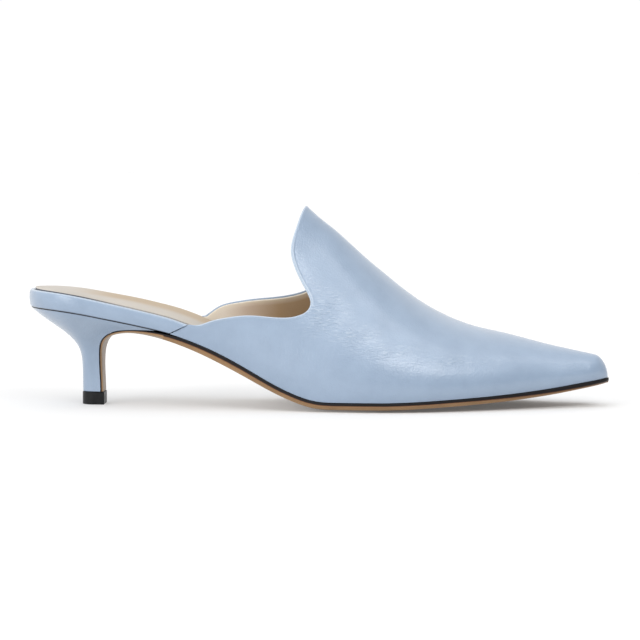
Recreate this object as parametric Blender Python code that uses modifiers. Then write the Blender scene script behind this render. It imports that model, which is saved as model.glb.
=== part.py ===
"""Backless kitten heel shoe for the right foot: pointed closed toe, high vamp, covered heel.

Metres, +Z up. +X points to the toe, and -Y is the outer side of the foot. The shoe stands on
Z = 0 on its top piece and the flat of its forefoot. Inside this script, stations along the shoe
count from the back of the heel seat, and the last step centres the shoe over the origin.
"""

import math
from collections import namedtuple

import bmesh
import bpy
import numpy as np

# The last and the pattern
SHOE_LENGTH = 0.2649
BALL_WIDTH = 0.078
SEAT_WIDTH = 0.054
HEEL_HEIGHT = 0.045
TOE_SPRING = 0.0087
TOE_ROUND = 0.009
TOE_FACE = 0.006
SEAT_ROUND = 0.025
VAMP_RISE = 0.085
MEDIAL_LIFT = 0.008

# Thicknesses of the pieces
UPPER_WALL = 0.0016
TIP_SKIVE = 0.012
TIP_WALL_SHARE = 0.3
SOLE_EDGE = 0.003
SOLE_CROWN = 0.0012
SOLE_MARGIN = 0.0005
SOLE_BEVEL = 0.0014
FLAP_THICKNESS = 0.0012
FOREPART_BOARD = 0.0024
SOCK_THICKNESS = 0.0012
SOCK_DROP = 0.0002
SEAT_PAD = 0.0013
BOARD_TOE_GAP = 0.007
RAND_HEIGHT = 0.008
RAND_FRONT_HEIGHT = 0.0069
RAND_WALL = 0.0018
RAND_SEAM = 0.0005
CLEARANCE = 0.0003

# The heel block, the sole flap on its breast and the top piece
STEM_BACK = 0.0236
STEM_DEPTH = 0.0086
STEM_WIDTH = 0.0106
BREAST_STATION = 0.060
FLAP_LEAD = (0.022, 0.014, 0.007)
SOLE_END = 0.0085
HEEL_INSET = 0.0004
TOP_PIECE_HEIGHT = 0.0058
TOP_PIECE_LIP = 0.0002
TOP_PIECE_BEVEL = 0.0004

# Where the wings of the upper meet the rand, measured from the back of the seat
JOINT_FOOT = 0.0665
JOINT_TOP = 0.0750

OUTER = -1
INNER = 1

# Plan outline of the feather line. Half width is a share of the seat's width behind the waist
# and of the ball's width ahead of it. Bend is the middle's shift, a share of the ball's width.
Outline = namedtuple("Outline", "station half bend")
OUTLINE = [
    Outline(0.000, 0.472, 0.000),
    Outline(0.094, 0.491, 0.000),
    Outline(0.170, 0.502, -0.004),
    Outline(0.245, 0.490, -0.013),
    Outline(0.320, 0.437, -0.022),
    Outline(0.395, 0.409, -0.027),
    Outline(0.471, 0.428, -0.024),
    Outline(0.546, 0.474, -0.013),
    Outline(0.603, 0.497, -0.003),
    Outline(0.659, 0.496, 0.009),
    Outline(0.716, 0.467, 0.021),
    Outline(0.772, 0.410, 0.032),
    Outline(0.829, 0.333, 0.038),
    Outline(0.885, 0.247, 0.040),
    Outline(0.942, 0.160, 0.037),
    Outline(0.972, 0.117, 0.035),
    Outline(1.000, 0.082, 0.031),
]
WAIST = (0.2, 0.5)

# Side profile of the last's bottom. Pitch is a share of the heel's rise over the forefoot,
# and edge is a share of the height of the sole's edge.
Shank = namedtuple("Shank", "station pitch edge")
SHANK = [
    Shank(0.000, 1.000, 1.00),
    Shank(0.045, 0.986, 1.00),
    Shank(0.094, 0.947, 1.00),
    Shank(0.132, 0.901, 1.00),
    Shank(0.177, 0.844, 1.00),
    Shank(0.226, 0.776, 1.02),
    Shank(0.251, 0.735, 1.05),
    Shank(0.275, 0.683, 1.10),
    Shank(0.302, 0.616, 1.16),
    Shank(0.343, 0.495, 1.22),
    Shank(0.385, 0.349, 1.16),
    Shank(0.427, 0.196, 1.06),
    Shank(0.448, 0.129, 1.03),
    Shank(0.469, 0.072, 1.01),
    Shank(0.490, 0.028, 1.00),
    Shank(0.511, 0.005, 1.00),
    Shank(0.528, 0.000, 1.00),
]
# Spring is a share of the toe spring, and edge is a share of the height of the sole's edge
Toe = namedtuple("Toe", "station spring edge")
TOE = [
    Toe(0.620, 0.000, 1.00),
    Toe(0.657, 0.030, 1.00),
    Toe(0.709, 0.105, 0.99),
    Toe(0.778, 0.220, 0.97),
    Toe(0.847, 0.376, 0.93),
    Toe(0.917, 0.620, 0.87),
    Toe(0.969, 0.862, 0.78),
    Toe(1.000, 1.000, 0.70),
]
# The sole's underside is crowned across the ball, and flat across the waist and the toe
CROWN_RISE = (0.30, 0.52)
CROWN_FALL = (0.64, 0.92)
CROWN_RUN = 0.3
# The insole board drops from the seat to the forepart, and the seat's padding fades out
BOARD_STEP = (0.28, 0.50)
PAD_FADE = (0.20, 0.35)

# Sections of the last above the feather line. Crest is a share of the vamp's rise, shift and
# the two bulges are shares of the ball's width, rise is a share of the section's own height
# and reach a share of its half width. Behind the vamp only the lower side of a section shows.
Section = namedtuple("Section", "station crest shift outer_bulge inner_bulge rise reach")
LAST = [
    Section(0.226, 1.190, 0.026, 0.012, 0.010, 0.45, 0.45),
    Section(0.300, 1.190, 0.035, 0.024, 0.018, 0.45, 0.42),
    Section(0.377, 1.165, 0.045, 0.040, 0.030, 0.45, 0.40),
    Section(0.433, 1.095, 0.050, 0.050, 0.038, 0.46, 0.38),
    Section(0.478, 1.000, 0.051, 0.058, 0.045, 0.46, 0.38),
    Section(0.527, 0.893, 0.053, 0.064, 0.051, 0.46, 0.40),
    Section(0.576, 0.755, 0.054, 0.070, 0.058, 0.47, 0.44),
    Section(0.624, 0.629, 0.053, 0.070, 0.058, 0.48, 0.48),
    Section(0.673, 0.509, 0.048, 0.068, 0.056, 0.50, 0.52),
    Section(0.722, 0.415, 0.038, 0.062, 0.053, 0.52, 0.55),
    Section(0.770, 0.352, 0.028, 0.056, 0.050, 0.54, 0.56),
    Section(0.826, 0.302, 0.017, 0.050, 0.045, 0.55, 0.57),
    Section(0.885, 0.237, 0.008, 0.044, 0.041, 0.56, 0.58),
    Section(0.945, 0.169, 0.003, 0.038, 0.036, 0.57, 0.60),
    Section(1.000, 0.106, 0.000, 0.032, 0.031, 0.58, 0.62),
]

# The topline from the vamp's peak down to the throat and back along the wing, in side view.
# Rise is the height over the feather line, a share of the vamp's rise, and lift is the share
# of the medial lift that the inner side has on top of it.
Topline = namedtuple("Topline", "station rise lift")
TOPLINE = [
    Topline(0.4780, 1.000, 0.00),
    Topline(0.4725, 0.960, 0.00),
    Topline(0.4660, 0.890, 0.01),
    Topline(0.4593, 0.810, 0.04),
    Topline(0.4568, 0.745, 0.10),
    Topline(0.4605, 0.690, 0.20),
    Topline(0.4698, 0.632, 0.36),
    Topline(0.4810, 0.580, 0.53),
    Topline(0.4880, 0.545, 0.68),
    Topline(0.4915, 0.515, 0.82),
    Topline(0.4895, 0.482, 0.93),
    Topline(0.4810, 0.448, 1.00),
    Topline(0.4670, 0.416, 0.97),
    Topline(0.4460, 0.380, 0.86),
    Topline(0.4060, 0.322, 0.60),
    Topline(0.3750, 0.268, 0.47),
    Topline(0.3490, 0.214, 0.41),
    Topline(0.3230, 0.157, 0.34),
    Topline(0.3050, 0.113, 0.16),
    Topline(0.2940, 0.094, 0.04),
]
FINE_ROWS = 13

# Levels of the heel block from its foot to the seat. The rises are shares of the block's
# height at its back and at its breast. Out is 0 at the stem and 1 at the seat's own edge, and
# spread grows the width from the stem's to the seat's.
Level = namedtuple("Level", "back_rise back_out breast_rise breast_out spread")
HEEL = [
    Level(0.000, 0.000, 0.000, 0.000, 0.000),
    Level(0.122, 0.003, 0.159, -0.004, 0.000),
    Level(0.253, 0.006, 0.328, -0.012, 0.015),
    Level(0.396, 0.022, 0.513, -0.014, 0.060),
    Level(0.526, 0.085, 0.682, 0.000, 0.160),
    Level(0.643, 0.235, 0.815, 0.052, 0.330),
    Level(0.753, 0.457, 0.922, 0.180, 0.550),
    Level(0.852, 0.696, 0.988, 0.400, 0.745),
    Level(0.935, 0.878, 1.003, 0.740, 0.910),
    Level(1.000, 1.000, 1.000, 1.000, 1.000),
]

# Profile of the rand: out from the feather line as a share of its wall, up as a share of
# its height
Profile = namedtuple("Profile", "out up")
RAND = [
    Profile(0.00, 0.00),
    Profile(0.30, 0.20),
    Profile(0.45, 0.50),
    Profile(0.42, 0.78),
    Profile(0.20, 0.94),
    Profile(-0.30, 1.00),
    Profile(-0.80, 0.95),
    Profile(-1.00, 0.85),
    Profile(-1.00, 0.00),
]

# How finely each piece is faceted
UPPER_ROWS = 22
WING_END_STEPS = 2
OUTSOLE_STATIONS = 44
FLAP_STATIONS = 28
BOARD_STATIONS = 36
RAND_STATIONS = 44
HEEL_LEVELS = 20
HEEL_SIDE_STEPS = 10
TIP_SHARE = 0.006


def natural_spline(xs, ys):
    """A smooth curve through the points, as a function of x."""
    xs = np.asarray(xs, float)
    ys = np.asarray(ys, float)
    count = len(xs)
    step = np.diff(xs)
    slope = np.diff(ys) / step
    matrix = np.eye(count)
    right = np.zeros(count)
    for i in range(1, count - 1):
        matrix[i, i - 1 : i + 2] = step[i - 1], 2 * (step[i - 1] + step[i]), step[i]
        right[i] = 6 * (slope[i] - slope[i - 1])
    bend = np.linalg.solve(matrix, right)

    def value(x):
        x = np.clip(np.asarray(x, float), xs[0], xs[-1])
        i = np.clip(np.searchsorted(xs, x) - 1, 0, count - 2)
        ahead = xs[i + 1] - x
        behind = x - xs[i]
        bent = (bend[i] * ahead**3 + bend[i + 1] * behind**3) / (6 * step[i])
        start = (ys[i] / step[i] - bend[i] * step[i] / 6) * ahead
        end = (ys[i + 1] / step[i] - bend[i + 1] * step[i] / 6) * behind
        return bent + start + end

    return value


def column(rows, name):
    """One column of a table as a smooth function of the station."""
    stations = [row.station * SHOE_LENGTH for row in rows]
    return natural_spline(stations, [getattr(row, name) for row in rows])


def smooth_step(value, start, end):
    share = np.clip((value - start) / (end - start), 0, 1)
    return share * share * (3 - 2 * share)


def rounded_end(distance, length):
    """Closes a width or height to nothing over a length, as an ellipse does."""
    share = np.clip(distance / length, 0, 1)
    return np.sqrt(1 - (1 - share) ** 2)


half_share = column(OUTLINE, "half")
bend_share = column(OUTLINE, "bend")
pitch_share = column(SHANK, "pitch")
spring_share = column(TOE, "spring")
toe_edge_share = column(TOE, "edge")
waist_edge_share = column(SHANK, "edge")
crest_share = column(LAST, "crest")
shift_share = column(LAST, "shift")
bulge_share = {OUTER: column(LAST, "outer_bulge"), INNER: column(LAST, "inner_bulge")}
rise_share = column(LAST, "rise")
reach_share = column(LAST, "reach")


def middle(x):
    """The outline's middle, sideways from the shoe's axis."""
    return bend_share(x) * BALL_WIDTH


def half_width(x):
    """Half the feather line's width at a station."""
    ball = smooth_step(x / SHOE_LENGTH, *WAIST)
    reference = SEAT_WIDTH + (BALL_WIDTH - SEAT_WIDTH) * ball
    ends = rounded_end(x, SEAT_ROUND) * rounded_end(SHOE_LENGTH - x, TOE_ROUND)
    return half_share(x) * reference * ends


def bottom_line(x):
    """Height of the feather line: the sole's upper face, and the heel's under the seat."""
    flat_start = SHANK[-1].station * SHOE_LENGTH
    flat_end = TOE[0].station * SHOE_LENGTH
    pitch = np.where(x < flat_start, np.maximum(pitch_share(x), 0), 0)
    spring = np.where(x > flat_end, np.maximum(spring_share(x), 0), 0)
    ball = SOLE_EDGE + SOLE_CROWN
    return ball + (HEEL_HEIGHT - ball) * pitch + TOE_SPRING * spring


def sole_edge(x):
    """Height of the sole's edge at a station."""
    flat_start = SHANK[-1].station * SHOE_LENGTH
    share = np.where(x < flat_start, waist_edge_share(x), toe_edge_share(x))
    return SOLE_EDGE * float(share)


def sole_crown(x):
    """How far the sole's underside bulges below its edges."""
    share = x / SHOE_LENGTH
    return SOLE_CROWN * smooth_step(share, *CROWN_RISE) * (1 - smooth_step(share, *CROWN_FALL))


def bottom_normal(x):
    """Direction out of the foot, in side view, square to the bottom line."""
    probe = 0.0005
    slope = (bottom_line(x + probe) - bottom_line(x - probe)) / (2 * probe)
    length = np.hypot(slope, 1)
    return slope / length, -1 / length


def edge_point(side, share, grow):
    """A point of the plan outline, share of the way from seat to toe, moved out by grow."""

    def at(position):
        x = SHOE_LENGTH * (1 - math.cos(math.pi * position)) / 2
        return np.array([x, float(middle(x) + side * half_width(x))])

    probe = 0.0005
    run = at(min(share + probe, 1)) - at(max(share - probe, 0))
    outward = np.array([-run[1], run[0]]) * side / np.hypot(*run)
    return at(share) + outward * grow


def share_at(x):
    """The share along the outline that a station has."""
    return math.acos(1 - 2 * x / SHOE_LENGTH) / math.pi


def rand_height(x):
    """The rand is lower at its joint with the wings than at the back."""
    return RAND_HEIGHT + (RAND_FRONT_HEIGHT - RAND_HEIGHT) * smooth_step(x, 0, JOINT_TOP)


def upper_height(x):
    """Height of the last's crest over the feather line."""
    return crest_share(x) * VAMP_RISE * rounded_end(SHOE_LENGTH - x, TOE_FACE)


def upper_point(side, x, share):
    """A point of the upper's outer face: share 0 on the crest and 1 on the feather line."""
    ends = rounded_end(SHOE_LENGTH - x, TOE_ROUND)
    height = upper_height(x)
    half = half_width(x)
    crest = side * shift_share(x) * BALL_WIDTH * ends
    bulged = half + bulge_share[side](x) * BALL_WIDTH * ends
    handles = [
        (crest, height),
        (crest + reach_share(x) * half, height),
        (bulged, rise_share(x) * height),
        (half, 0.0),
    ]
    weights = [
        (1 - share) ** 3,
        3 * (1 - share) ** 2 * share,
        3 * (1 - share) * share**2,
        share**3,
    ]
    out = sum(w * handle[0] for w, handle in zip(weights, handles))
    up = sum(w * handle[1] for w, handle in zip(weights, handles))
    return float(x), float(middle(x) + side * out), float(bottom_line(x) + CLEARANCE + up)


def share_at_height(side, x, height):
    """Where a section's outline has this height over the feather line."""
    shares = np.linspace(0, 1, 400)
    floor = bottom_line(x) + CLEARANCE
    heights = np.array([upper_point(side, x, s)[2] - floor for s in shares])
    return float(np.interp(-height, -heights, shares))


def new_material(name, colour, roughness, metallic=0.0):
    material = bpy.data.materials.new(name)
    material.use_nodes = True
    shader = material.node_tree.nodes["Principled BSDF"]
    shader.inputs["Base Color"].default_value = (*colour, 1)
    shader.inputs["Roughness"].default_value = roughness
    shader.inputs["Metallic"].default_value = metallic
    return material


def add_object(name, mesh, material):
    mesh.materials.append(material)
    mesh.shade_smooth()
    mesh.set_sharp_from_angle(angle=math.radians(40))
    piece = bpy.data.objects.new(name, mesh)
    shoe_collection.objects.link(piece)
    piece.parent = shoe_root
    return piece


def loft(name, rings, material):
    """A closed solid through rings of points. Each ring mirrors itself, first point to last."""
    shape = bmesh.new()
    loops = [[shape.verts.new(point) for point in ring] for ring in rings]
    count = len(loops[0])
    for near, far in zip(loops, loops[1:]):
        for i in range(count):
            j = (i + 1) % count
            shape.faces.new((near[i], near[j], far[j], far[i]))
    for loop in (loops[0], loops[-1]):
        for i in range(count // 2 - 1):
            pair = (loop[i], loop[i + 1], loop[count - 2 - i], loop[count - 1 - i])
            shape.faces.new(pair)
        if count % 2:
            centre = count // 2
            shape.faces.new((loop[centre - 1], loop[centre], loop[centre + 1]))
    bmesh.ops.recalc_face_normals(shape, faces=shape.faces)
    mesh = bpy.data.meshes.new(name)
    shape.to_mesh(mesh)
    shape.free()
    return add_object(name, mesh, material)


def topline_points(side):
    """The topline in side view, from the peak to the foot of the wing: stations and rises."""
    rows = np.arange(len(TOPLINE))
    stations, rises, lifts = (natural_spline(rows, values) for values in zip(*TOPLINE))
    order = np.concatenate([np.arange(0, FINE_ROWS, 0.5), rows[FINE_ROWS:]])
    lift = MEDIAL_LIFT if side == INNER else 0.0
    points = [
        (float(stations(i)) * SHOE_LENGTH, float(rises(i)) * VAMP_RISE + float(lifts(i)) * lift)
        for i in order
    ]
    for i in range(WING_END_STEPS + 1):
        share = i / WING_END_STEPS
        x = JOINT_TOP + (JOINT_FOOT - JOINT_TOP) * share
        points.append((x, (float(rand_height(JOINT_TOP)) + CLEARANCE) * (1 - share)))
    return points


def build_upper(material):
    """The upper's outer face as one open sheet from topline to toe, given its wall inwards.

    The wall is skived thin over the last stretch, where the toe is too narrow for its full wall.
    """
    strips = []
    for side in (OUTER, INNER):
        for station, rise in topline_points(side):
            share = share_at_height(side, station, rise)
            strips.append((side, station, share))
    outer_count = len(strips) // 2
    strips = strips[:outer_count][::-1] + strips[outer_count + 1 :]
    shape = bmesh.new()
    tip = shape.verts.new(upper_point(OUTER, SHOE_LENGTH, 1.0))
    lines = []
    for side, station, share in strips:
        line = []
        for row in range(UPPER_ROWS):
            run = math.sin(math.pi / 2 * row / UPPER_ROWS)
            x = station + (SHOE_LENGTH - station) * run
            line.append(shape.verts.new(upper_point(side, x, share)))
        lines.append(line)
    for left, right in zip(lines, lines[1:]):
        for row in range(UPPER_ROWS - 1):
            shape.faces.new((left[row], left[row + 1], right[row + 1], right[row]))
        shape.faces.new((left[-1], tip, right[-1]))
    mesh = bpy.data.meshes.new("upper")
    shape.to_mesh(mesh)
    shape.free()
    upper = add_object("upper", mesh, material)
    skived = upper.vertex_groups.new(name="skived")
    for vertex in mesh.vertices:
        share = (SHOE_LENGTH - vertex.co.x) / TIP_SKIVE
        skived.add([vertex.index], min(max(share, TIP_WALL_SHARE), 1.0), "REPLACE")
    wall = upper.modifiers.new("wall", "SOLIDIFY")
    wall.vertex_group = skived.name
    wall.thickness = UPPER_WALL
    wall.offset = -1
    wall.use_even_offset = True
    wall.use_quality_normals = True
    return upper


def breast_line():
    """The heel's breast in side view from foot to seat, with its half width at each level."""
    foot = TOP_PIECE_HEIGHT + CLEARANCE
    seat = float(bottom_line(BREAST_STATION))
    stem = STEM_BACK + STEM_DEPTH
    spread_to = float(half_width(BREAST_STATION)) - HEEL_INSET
    return [
        (
            stem + (BREAST_STATION - stem) * level.breast_out,
            foot + (seat - foot) * level.breast_rise,
            STEM_WIDTH / 2 + (spread_to - STEM_WIDTH / 2) * level.spread,
        )
        for level in HEEL
    ]


def sole_ring(share):
    """One section of the sole: flat inside, square then bevelled edges, and a crowned underside."""
    sides = []
    for side in (OUTER, INNER):
        station = edge_point(side, share, 0.0)[0]
        edge = sole_edge(station)
        run = SOLE_BEVEL + CROWN_RUN * float(half_width(station))
        crown = float(sole_crown(station))
        levels = [(0.0, 0.0), (0.0, 0.5 * edge), (SOLE_BEVEL, edge), (run, edge + crown)]
        points = []
        for inset, drop in levels:
            x, y = edge_point(side, share, SOLE_MARGIN - inset)
            ahead, up = bottom_normal(x)
            points.append((x + ahead * drop, y, float(bottom_line(x)) + up * drop))
        sides.append(points)
    return sides[0] + sides[1][::-1]


def flap_ring(x, z, half, normal, fade):
    """One section of the flap, which thins and squares the sole's edge as it runs down."""
    edge = sole_edge(x) + (FLAP_THICKNESS - sole_edge(x)) * fade
    bevel = SOLE_BEVEL + (FLAP_THICKNESS / 2 - SOLE_BEVEL) * fade
    run = bevel + CROWN_RUN * half
    levels = [(0.0, 0.0), (0.0, 0.5 * edge), (bevel, edge), (run, edge)]
    centre = float(middle(max(x, STEM_BACK)))
    sides = []
    for side in (OUTER, INNER):
        points = []
        for inset, drop in levels:
            y = centre + side * (half - inset)
            points.append((x + normal[0] * drop, y, z + normal[1] * drop))
        sides.append(points)
    return sides[0] + sides[1][::-1]


def flap_stations():
    """The sole's inner face where it leaves the shank and runs down the heel's breast."""
    lead = [JOINT_FOOT + step for step in FLAP_LEAD]
    points = [(x, float(bottom_line(x)), float(half_width(x)) + SOLE_MARGIN) for x in lead]
    points += breast_line()[-2::-1]
    points = np.array(points)
    run = np.concatenate([[0], np.cumsum(np.hypot(*np.diff(points[:, :2], axis=0).T))])
    curves = [natural_spline(run, points[:, i]) for i in range(3)]
    probe = 0.0002
    stations = []
    for s in np.linspace(run[2], run[-1], FLAP_STATIONS):
        x, z, half = (float(curve(s)) for curve in curves)
        ahead = float(curves[0](s + probe) - curves[0](s - probe))
        rise = float(curves[1](s + probe) - curves[1](s - probe))
        length = math.hypot(ahead, rise)
        normal = (-rise / length, ahead / length)
        fade = float(smooth_step(s, run[2], run[4]))
        gap = CLEARANCE * float(smooth_step(s, run[2], run[3]))
        x += normal[0] * gap
        z += normal[1] * gap
        stations.append((x, z, half, normal, fade))
    return stations


def build_outsole(material):
    """The leather sole from toe to waist, and its flap down the heel's breast."""
    start = share_at(JOINT_FOOT + SOLE_END)
    shares = np.linspace(1 - TIP_SHARE, start, OUTSOLE_STATIONS)
    rings = [sole_ring(share) for share in shares]
    rings += [flap_ring(*station) for station in flap_stations()]
    return loft("outsole", rings, material)


def build_heel(material):
    """The covered heel block, from the top piece up to the seat."""
    order = np.arange(len(HEEL))
    curves = {
        name: natural_spline(order, [getattr(level, name) for level in HEEL])
        for name in Level._fields
    }
    foot = TOP_PIECE_HEIGHT + CLEARANCE
    rings = []
    for at in np.linspace(0, order[-1], HEEL_LEVELS):
        level = Level(**{name: float(curve(at)) for name, curve in curves.items()})
        rings.append(heel_ring(level, foot))
    return loft("heel", rings, material)


def heel_ring(level, foot):
    """One slice of the heel block, round at its back and flat at its breast."""
    stem_front = STEM_BACK + STEM_DEPTH
    seat_back = HEEL_INSET
    back = STEM_BACK + (seat_back - STEM_BACK) * level.back_out
    front = stem_front + (BREAST_STATION - stem_front) * level.breast_out
    back_height = foot + (float(bottom_line(seat_back)) - foot) * level.back_rise
    front_height = foot + (float(bottom_line(BREAST_STATION)) - foot) * level.breast_rise
    sides = {OUTER: [], INNER: []}
    for i in range(HEEL_SIDE_STEPS + 1):
        along = 1 - math.cos(math.pi / 2 * i / HEEL_SIDE_STEPS)
        seat_x = seat_back + (BREAST_STATION - seat_back) * along
        stem_half = STEM_WIDTH / 2 * float(rounded_end(along, STEM_WIDTH / 2 / STEM_DEPTH))
        seat_half = max(float(half_width(seat_x)) - HEEL_INSET, 0.0) if i else 0.0
        half = stem_half + (seat_half - stem_half) * level.spread
        seat_line = float(bottom_line(seat_x))
        chord_ends = float(bottom_line(seat_back)), float(bottom_line(BREAST_STATION))
        chord = chord_ends[0] + (chord_ends[1] - chord_ends[0]) * along
        height = back_height + (front_height - back_height) * along
        height += (seat_line - chord) * level.spread**2
        x = back + (front - back) * along
        for side in sides:
            sides[side].append((x, float(middle(seat_x)) + side * half, height))
    return sides[OUTER][:0:-1] + [sides[OUTER][0]] + sides[INNER][1:]


def build_top_piece(material):
    """The wearing cap under the heel's stem and the end of the flap."""
    depth = STEM_DEPTH + CLEARANCE + FLAP_THICKNESS
    half = STEM_WIDTH / 2 + TOP_PIECE_LIP
    levels = [
        (0.0, TOP_PIECE_BEVEL),
        (TOP_PIECE_BEVEL, 0.0),
        (TOP_PIECE_HEIGHT - TOP_PIECE_BEVEL / 2, 0.0),
        (TOP_PIECE_HEIGHT, TOP_PIECE_BEVEL / 2),
    ]
    centre = float(middle(STEM_BACK))
    rings = []
    for height, inset in levels:
        outer, inner = [], []
        for i in range(HEEL_SIDE_STEPS + 1):
            along = 1 - math.cos(math.pi / 2 * i / HEEL_SIDE_STEPS)
            width = (half - inset) * float(rounded_end(along, half / depth))
            x = STEM_BACK - TOP_PIECE_LIP + inset
            x += (depth + 2 * (TOP_PIECE_LIP - inset)) * along
            outer.append((x, centre - width, height))
            inner.append((x, centre + width, height))
        rings.append(outer[:0:-1] + [outer[0]] + inner[1:])
    return loft("top_piece", rings, material)


def build_rand(material):
    """The leather strip that wraps the edge of the heel seat, from wing to wing."""
    rings = []
    for turn in np.linspace(-1, 1, RAND_STATIONS + 1):
        side = OUTER if turn < 0 else INNER
        ring = []
        for point in RAND:
            end = JOINT_FOOT + (JOINT_TOP - JOINT_FOOT) * point.up - RAND_SEAM
            x = end * (1 - math.cos(abs(turn) * math.pi / 2))
            spot = edge_point(side, share_at(x), point.out * RAND_WALL)
            if turn == 0:
                spot = np.array([-point.out * RAND_WALL, float(middle(0.0))])
            up = float(bottom_line(x)) + CLEARANCE + point.up * float(rand_height(x))
            ring.append((*spot, up))
        rings.append(ring)
    return loft("rand", rings, material)


def board_top(x):
    """Height of the insole board's upper face over the feather line."""
    forepart = smooth_step(x / SHOE_LENGTH, *BOARD_STEP)
    seat = rand_height(x) - SOCK_DROP - SOCK_THICKNESS - CLEARANCE
    return CLEARANCE + seat + (FOREPART_BOARD - seat) * forepart


def plate(name, inset, under, over, pad, material):
    """A plate inside the shoe between two heights over the feather line, padded at the seat."""
    across = (0.0, 0.06, 0.16, 0.32, 0.5, 0.68, 0.84, 0.94, 1.0)
    rings = []
    toe_end = share_at(SHOE_LENGTH - BOARD_TOE_GAP)
    for share in np.linspace(TIP_SHARE, toe_end, BOARD_STATIONS):
        outer = edge_point(OUTER, share, -inset)
        inner = edge_point(INNER, share, -inset)
        top = []
        for part in across:
            x, y = outer + (inner - outer) * part
            seat = 1 - float(smooth_step(x / SHOE_LENGTH, *PAD_FADE))
            swell = pad * seat * (1 - (2 * part - 1) ** 4)
            top.append((x, y, float(bottom_line(x) + over(x)) + swell))
        bottom = [(x, y, float(bottom_line(x) + under(x))) for x, y, _ in top]
        rings.append(bottom + top[::-1])
    return loft(name, rings, material)


def build_board(material):
    """The insole board, which the upper and the rand stand around."""
    inset = max(UPPER_WALL, RAND_WALL) + CLEARANCE
    return plate("insole", inset, lambda x: CLEARANCE, board_top, 0.0, material)


def build_sock(material):
    """The leather sock on the insole board, padded under the heel."""
    inset = max(UPPER_WALL, RAND_WALL) + CLEARANCE

    def under(x):
        return board_top(x) + CLEARANCE

    def over(x):
        return board_top(x) + CLEARANCE + SOCK_THICKNESS

    return plate("sock", inset, under, over, SEAT_PAD, material)


def centre_over_origin():
    """Moves the shoe so that the origin lies on the floor under the middle of its box."""
    bpy.context.view_layer.update()
    graph = bpy.context.evaluated_depsgraph_get()
    points = []
    for piece in shoe_collection.objects:
        if piece.type == "MESH":
            seen = piece.evaluated_get(graph)
            points += [seen.matrix_world @ vertex.co for vertex in seen.data.vertices]
    points = np.array(points)
    middle_point = (points.min(0) + points.max(0)) / 2
    shoe_root.location = (-middle_point[0], -middle_point[1], 0.0)


for old in list(bpy.data.objects):
    bpy.data.objects.remove(old)
shoe_collection = bpy.data.collections.new("kitten_heel_shoe")
bpy.context.scene.collection.children.link(shoe_collection)
shoe_root = bpy.data.objects.new("shoe_root", None)
shoe_collection.objects.link(shoe_root)

build_upper(new_material("blue_leather", (0.42, 0.53, 0.70), 0.38))
build_outsole(new_material("sole_leather", (0.58, 0.37, 0.20), 0.5))
build_heel(new_material("blue_heel_cover", (0.42, 0.53, 0.70), 0.35))
build_top_piece(new_material("black_rubber", (0.02, 0.02, 0.022), 0.45))
build_rand(new_material("blue_rand_leather", (0.42, 0.53, 0.70), 0.35))
build_board(new_material("board_fibre", (0.45, 0.36, 0.25), 0.85))
build_sock(new_material("beige_sock_leather", (0.72, 0.56, 0.40), 0.55))
centre_over_origin()
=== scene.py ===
import math

import bmesh
import bpy
import numpy as np
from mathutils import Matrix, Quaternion, Vector, kdtree, noise


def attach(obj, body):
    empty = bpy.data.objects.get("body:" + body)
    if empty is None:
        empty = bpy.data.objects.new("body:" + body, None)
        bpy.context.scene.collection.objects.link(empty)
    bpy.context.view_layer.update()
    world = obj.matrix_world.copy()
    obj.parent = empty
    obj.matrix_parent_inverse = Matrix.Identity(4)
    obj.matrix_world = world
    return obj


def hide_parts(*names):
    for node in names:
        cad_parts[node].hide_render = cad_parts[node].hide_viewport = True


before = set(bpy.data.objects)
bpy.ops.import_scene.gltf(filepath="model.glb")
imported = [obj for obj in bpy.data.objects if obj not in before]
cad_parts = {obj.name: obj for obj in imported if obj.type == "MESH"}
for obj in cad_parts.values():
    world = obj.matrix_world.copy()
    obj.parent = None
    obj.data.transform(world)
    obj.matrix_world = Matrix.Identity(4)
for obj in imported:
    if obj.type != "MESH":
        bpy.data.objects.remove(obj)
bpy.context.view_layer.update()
print("Frame loaded:", ", ".join(sorted(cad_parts)))

mm = 0.001
outer, inner = -1, 1  # sides of the right foot, along Y

# Sizes of the last. Stations count from the back of the seat, and origin brings them to the frame
lastShape = {
    "length": 0.2649,
    "ballWidth": 0.078,
    "seatWidth": 0.054,
    "heelHeight": 0.045,
    "toeSpring": 0.0087,
    "toeRound": 0.009,
    "toeFace": 0.006,
    "seatRound": 0.025,
    "vampRise": 0.085,
    "medialLift": 0.008,
    "soleEdge": 0.003,
    "soleCrown": 0.0012,
    "gap": 0.0003,
    "waist": (0.2, 0.5),
    "crownRise": (0.30, 0.52),
    "crownFall": (0.64, 0.92),
    "jointFoot": 0.0665,
    "jointTop": 0.0750,
    "origin": (-0.132284, -0.000172, 0.0),
}
lastLength = lastShape["length"]

# station, half width, bend
outlineRows = [
    (0.000, 0.472, 0.000), (0.094, 0.491, 0.000), (0.170, 0.502, -0.004), (0.245, 0.490, -0.013),
    (0.320, 0.437, -0.022), (0.395, 0.409, -0.027), (0.471, 0.428, -0.024), (0.546, 0.474, -0.013),
    (0.603, 0.497, -0.003), (0.659, 0.496, 0.009), (0.716, 0.467, 0.021), (0.772, 0.410, 0.032),
    (0.829, 0.333, 0.038), (0.885, 0.247, 0.040), (0.942, 0.160, 0.037), (0.972, 0.117, 0.035),
    (1.000, 0.082, 0.031),
]

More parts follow.
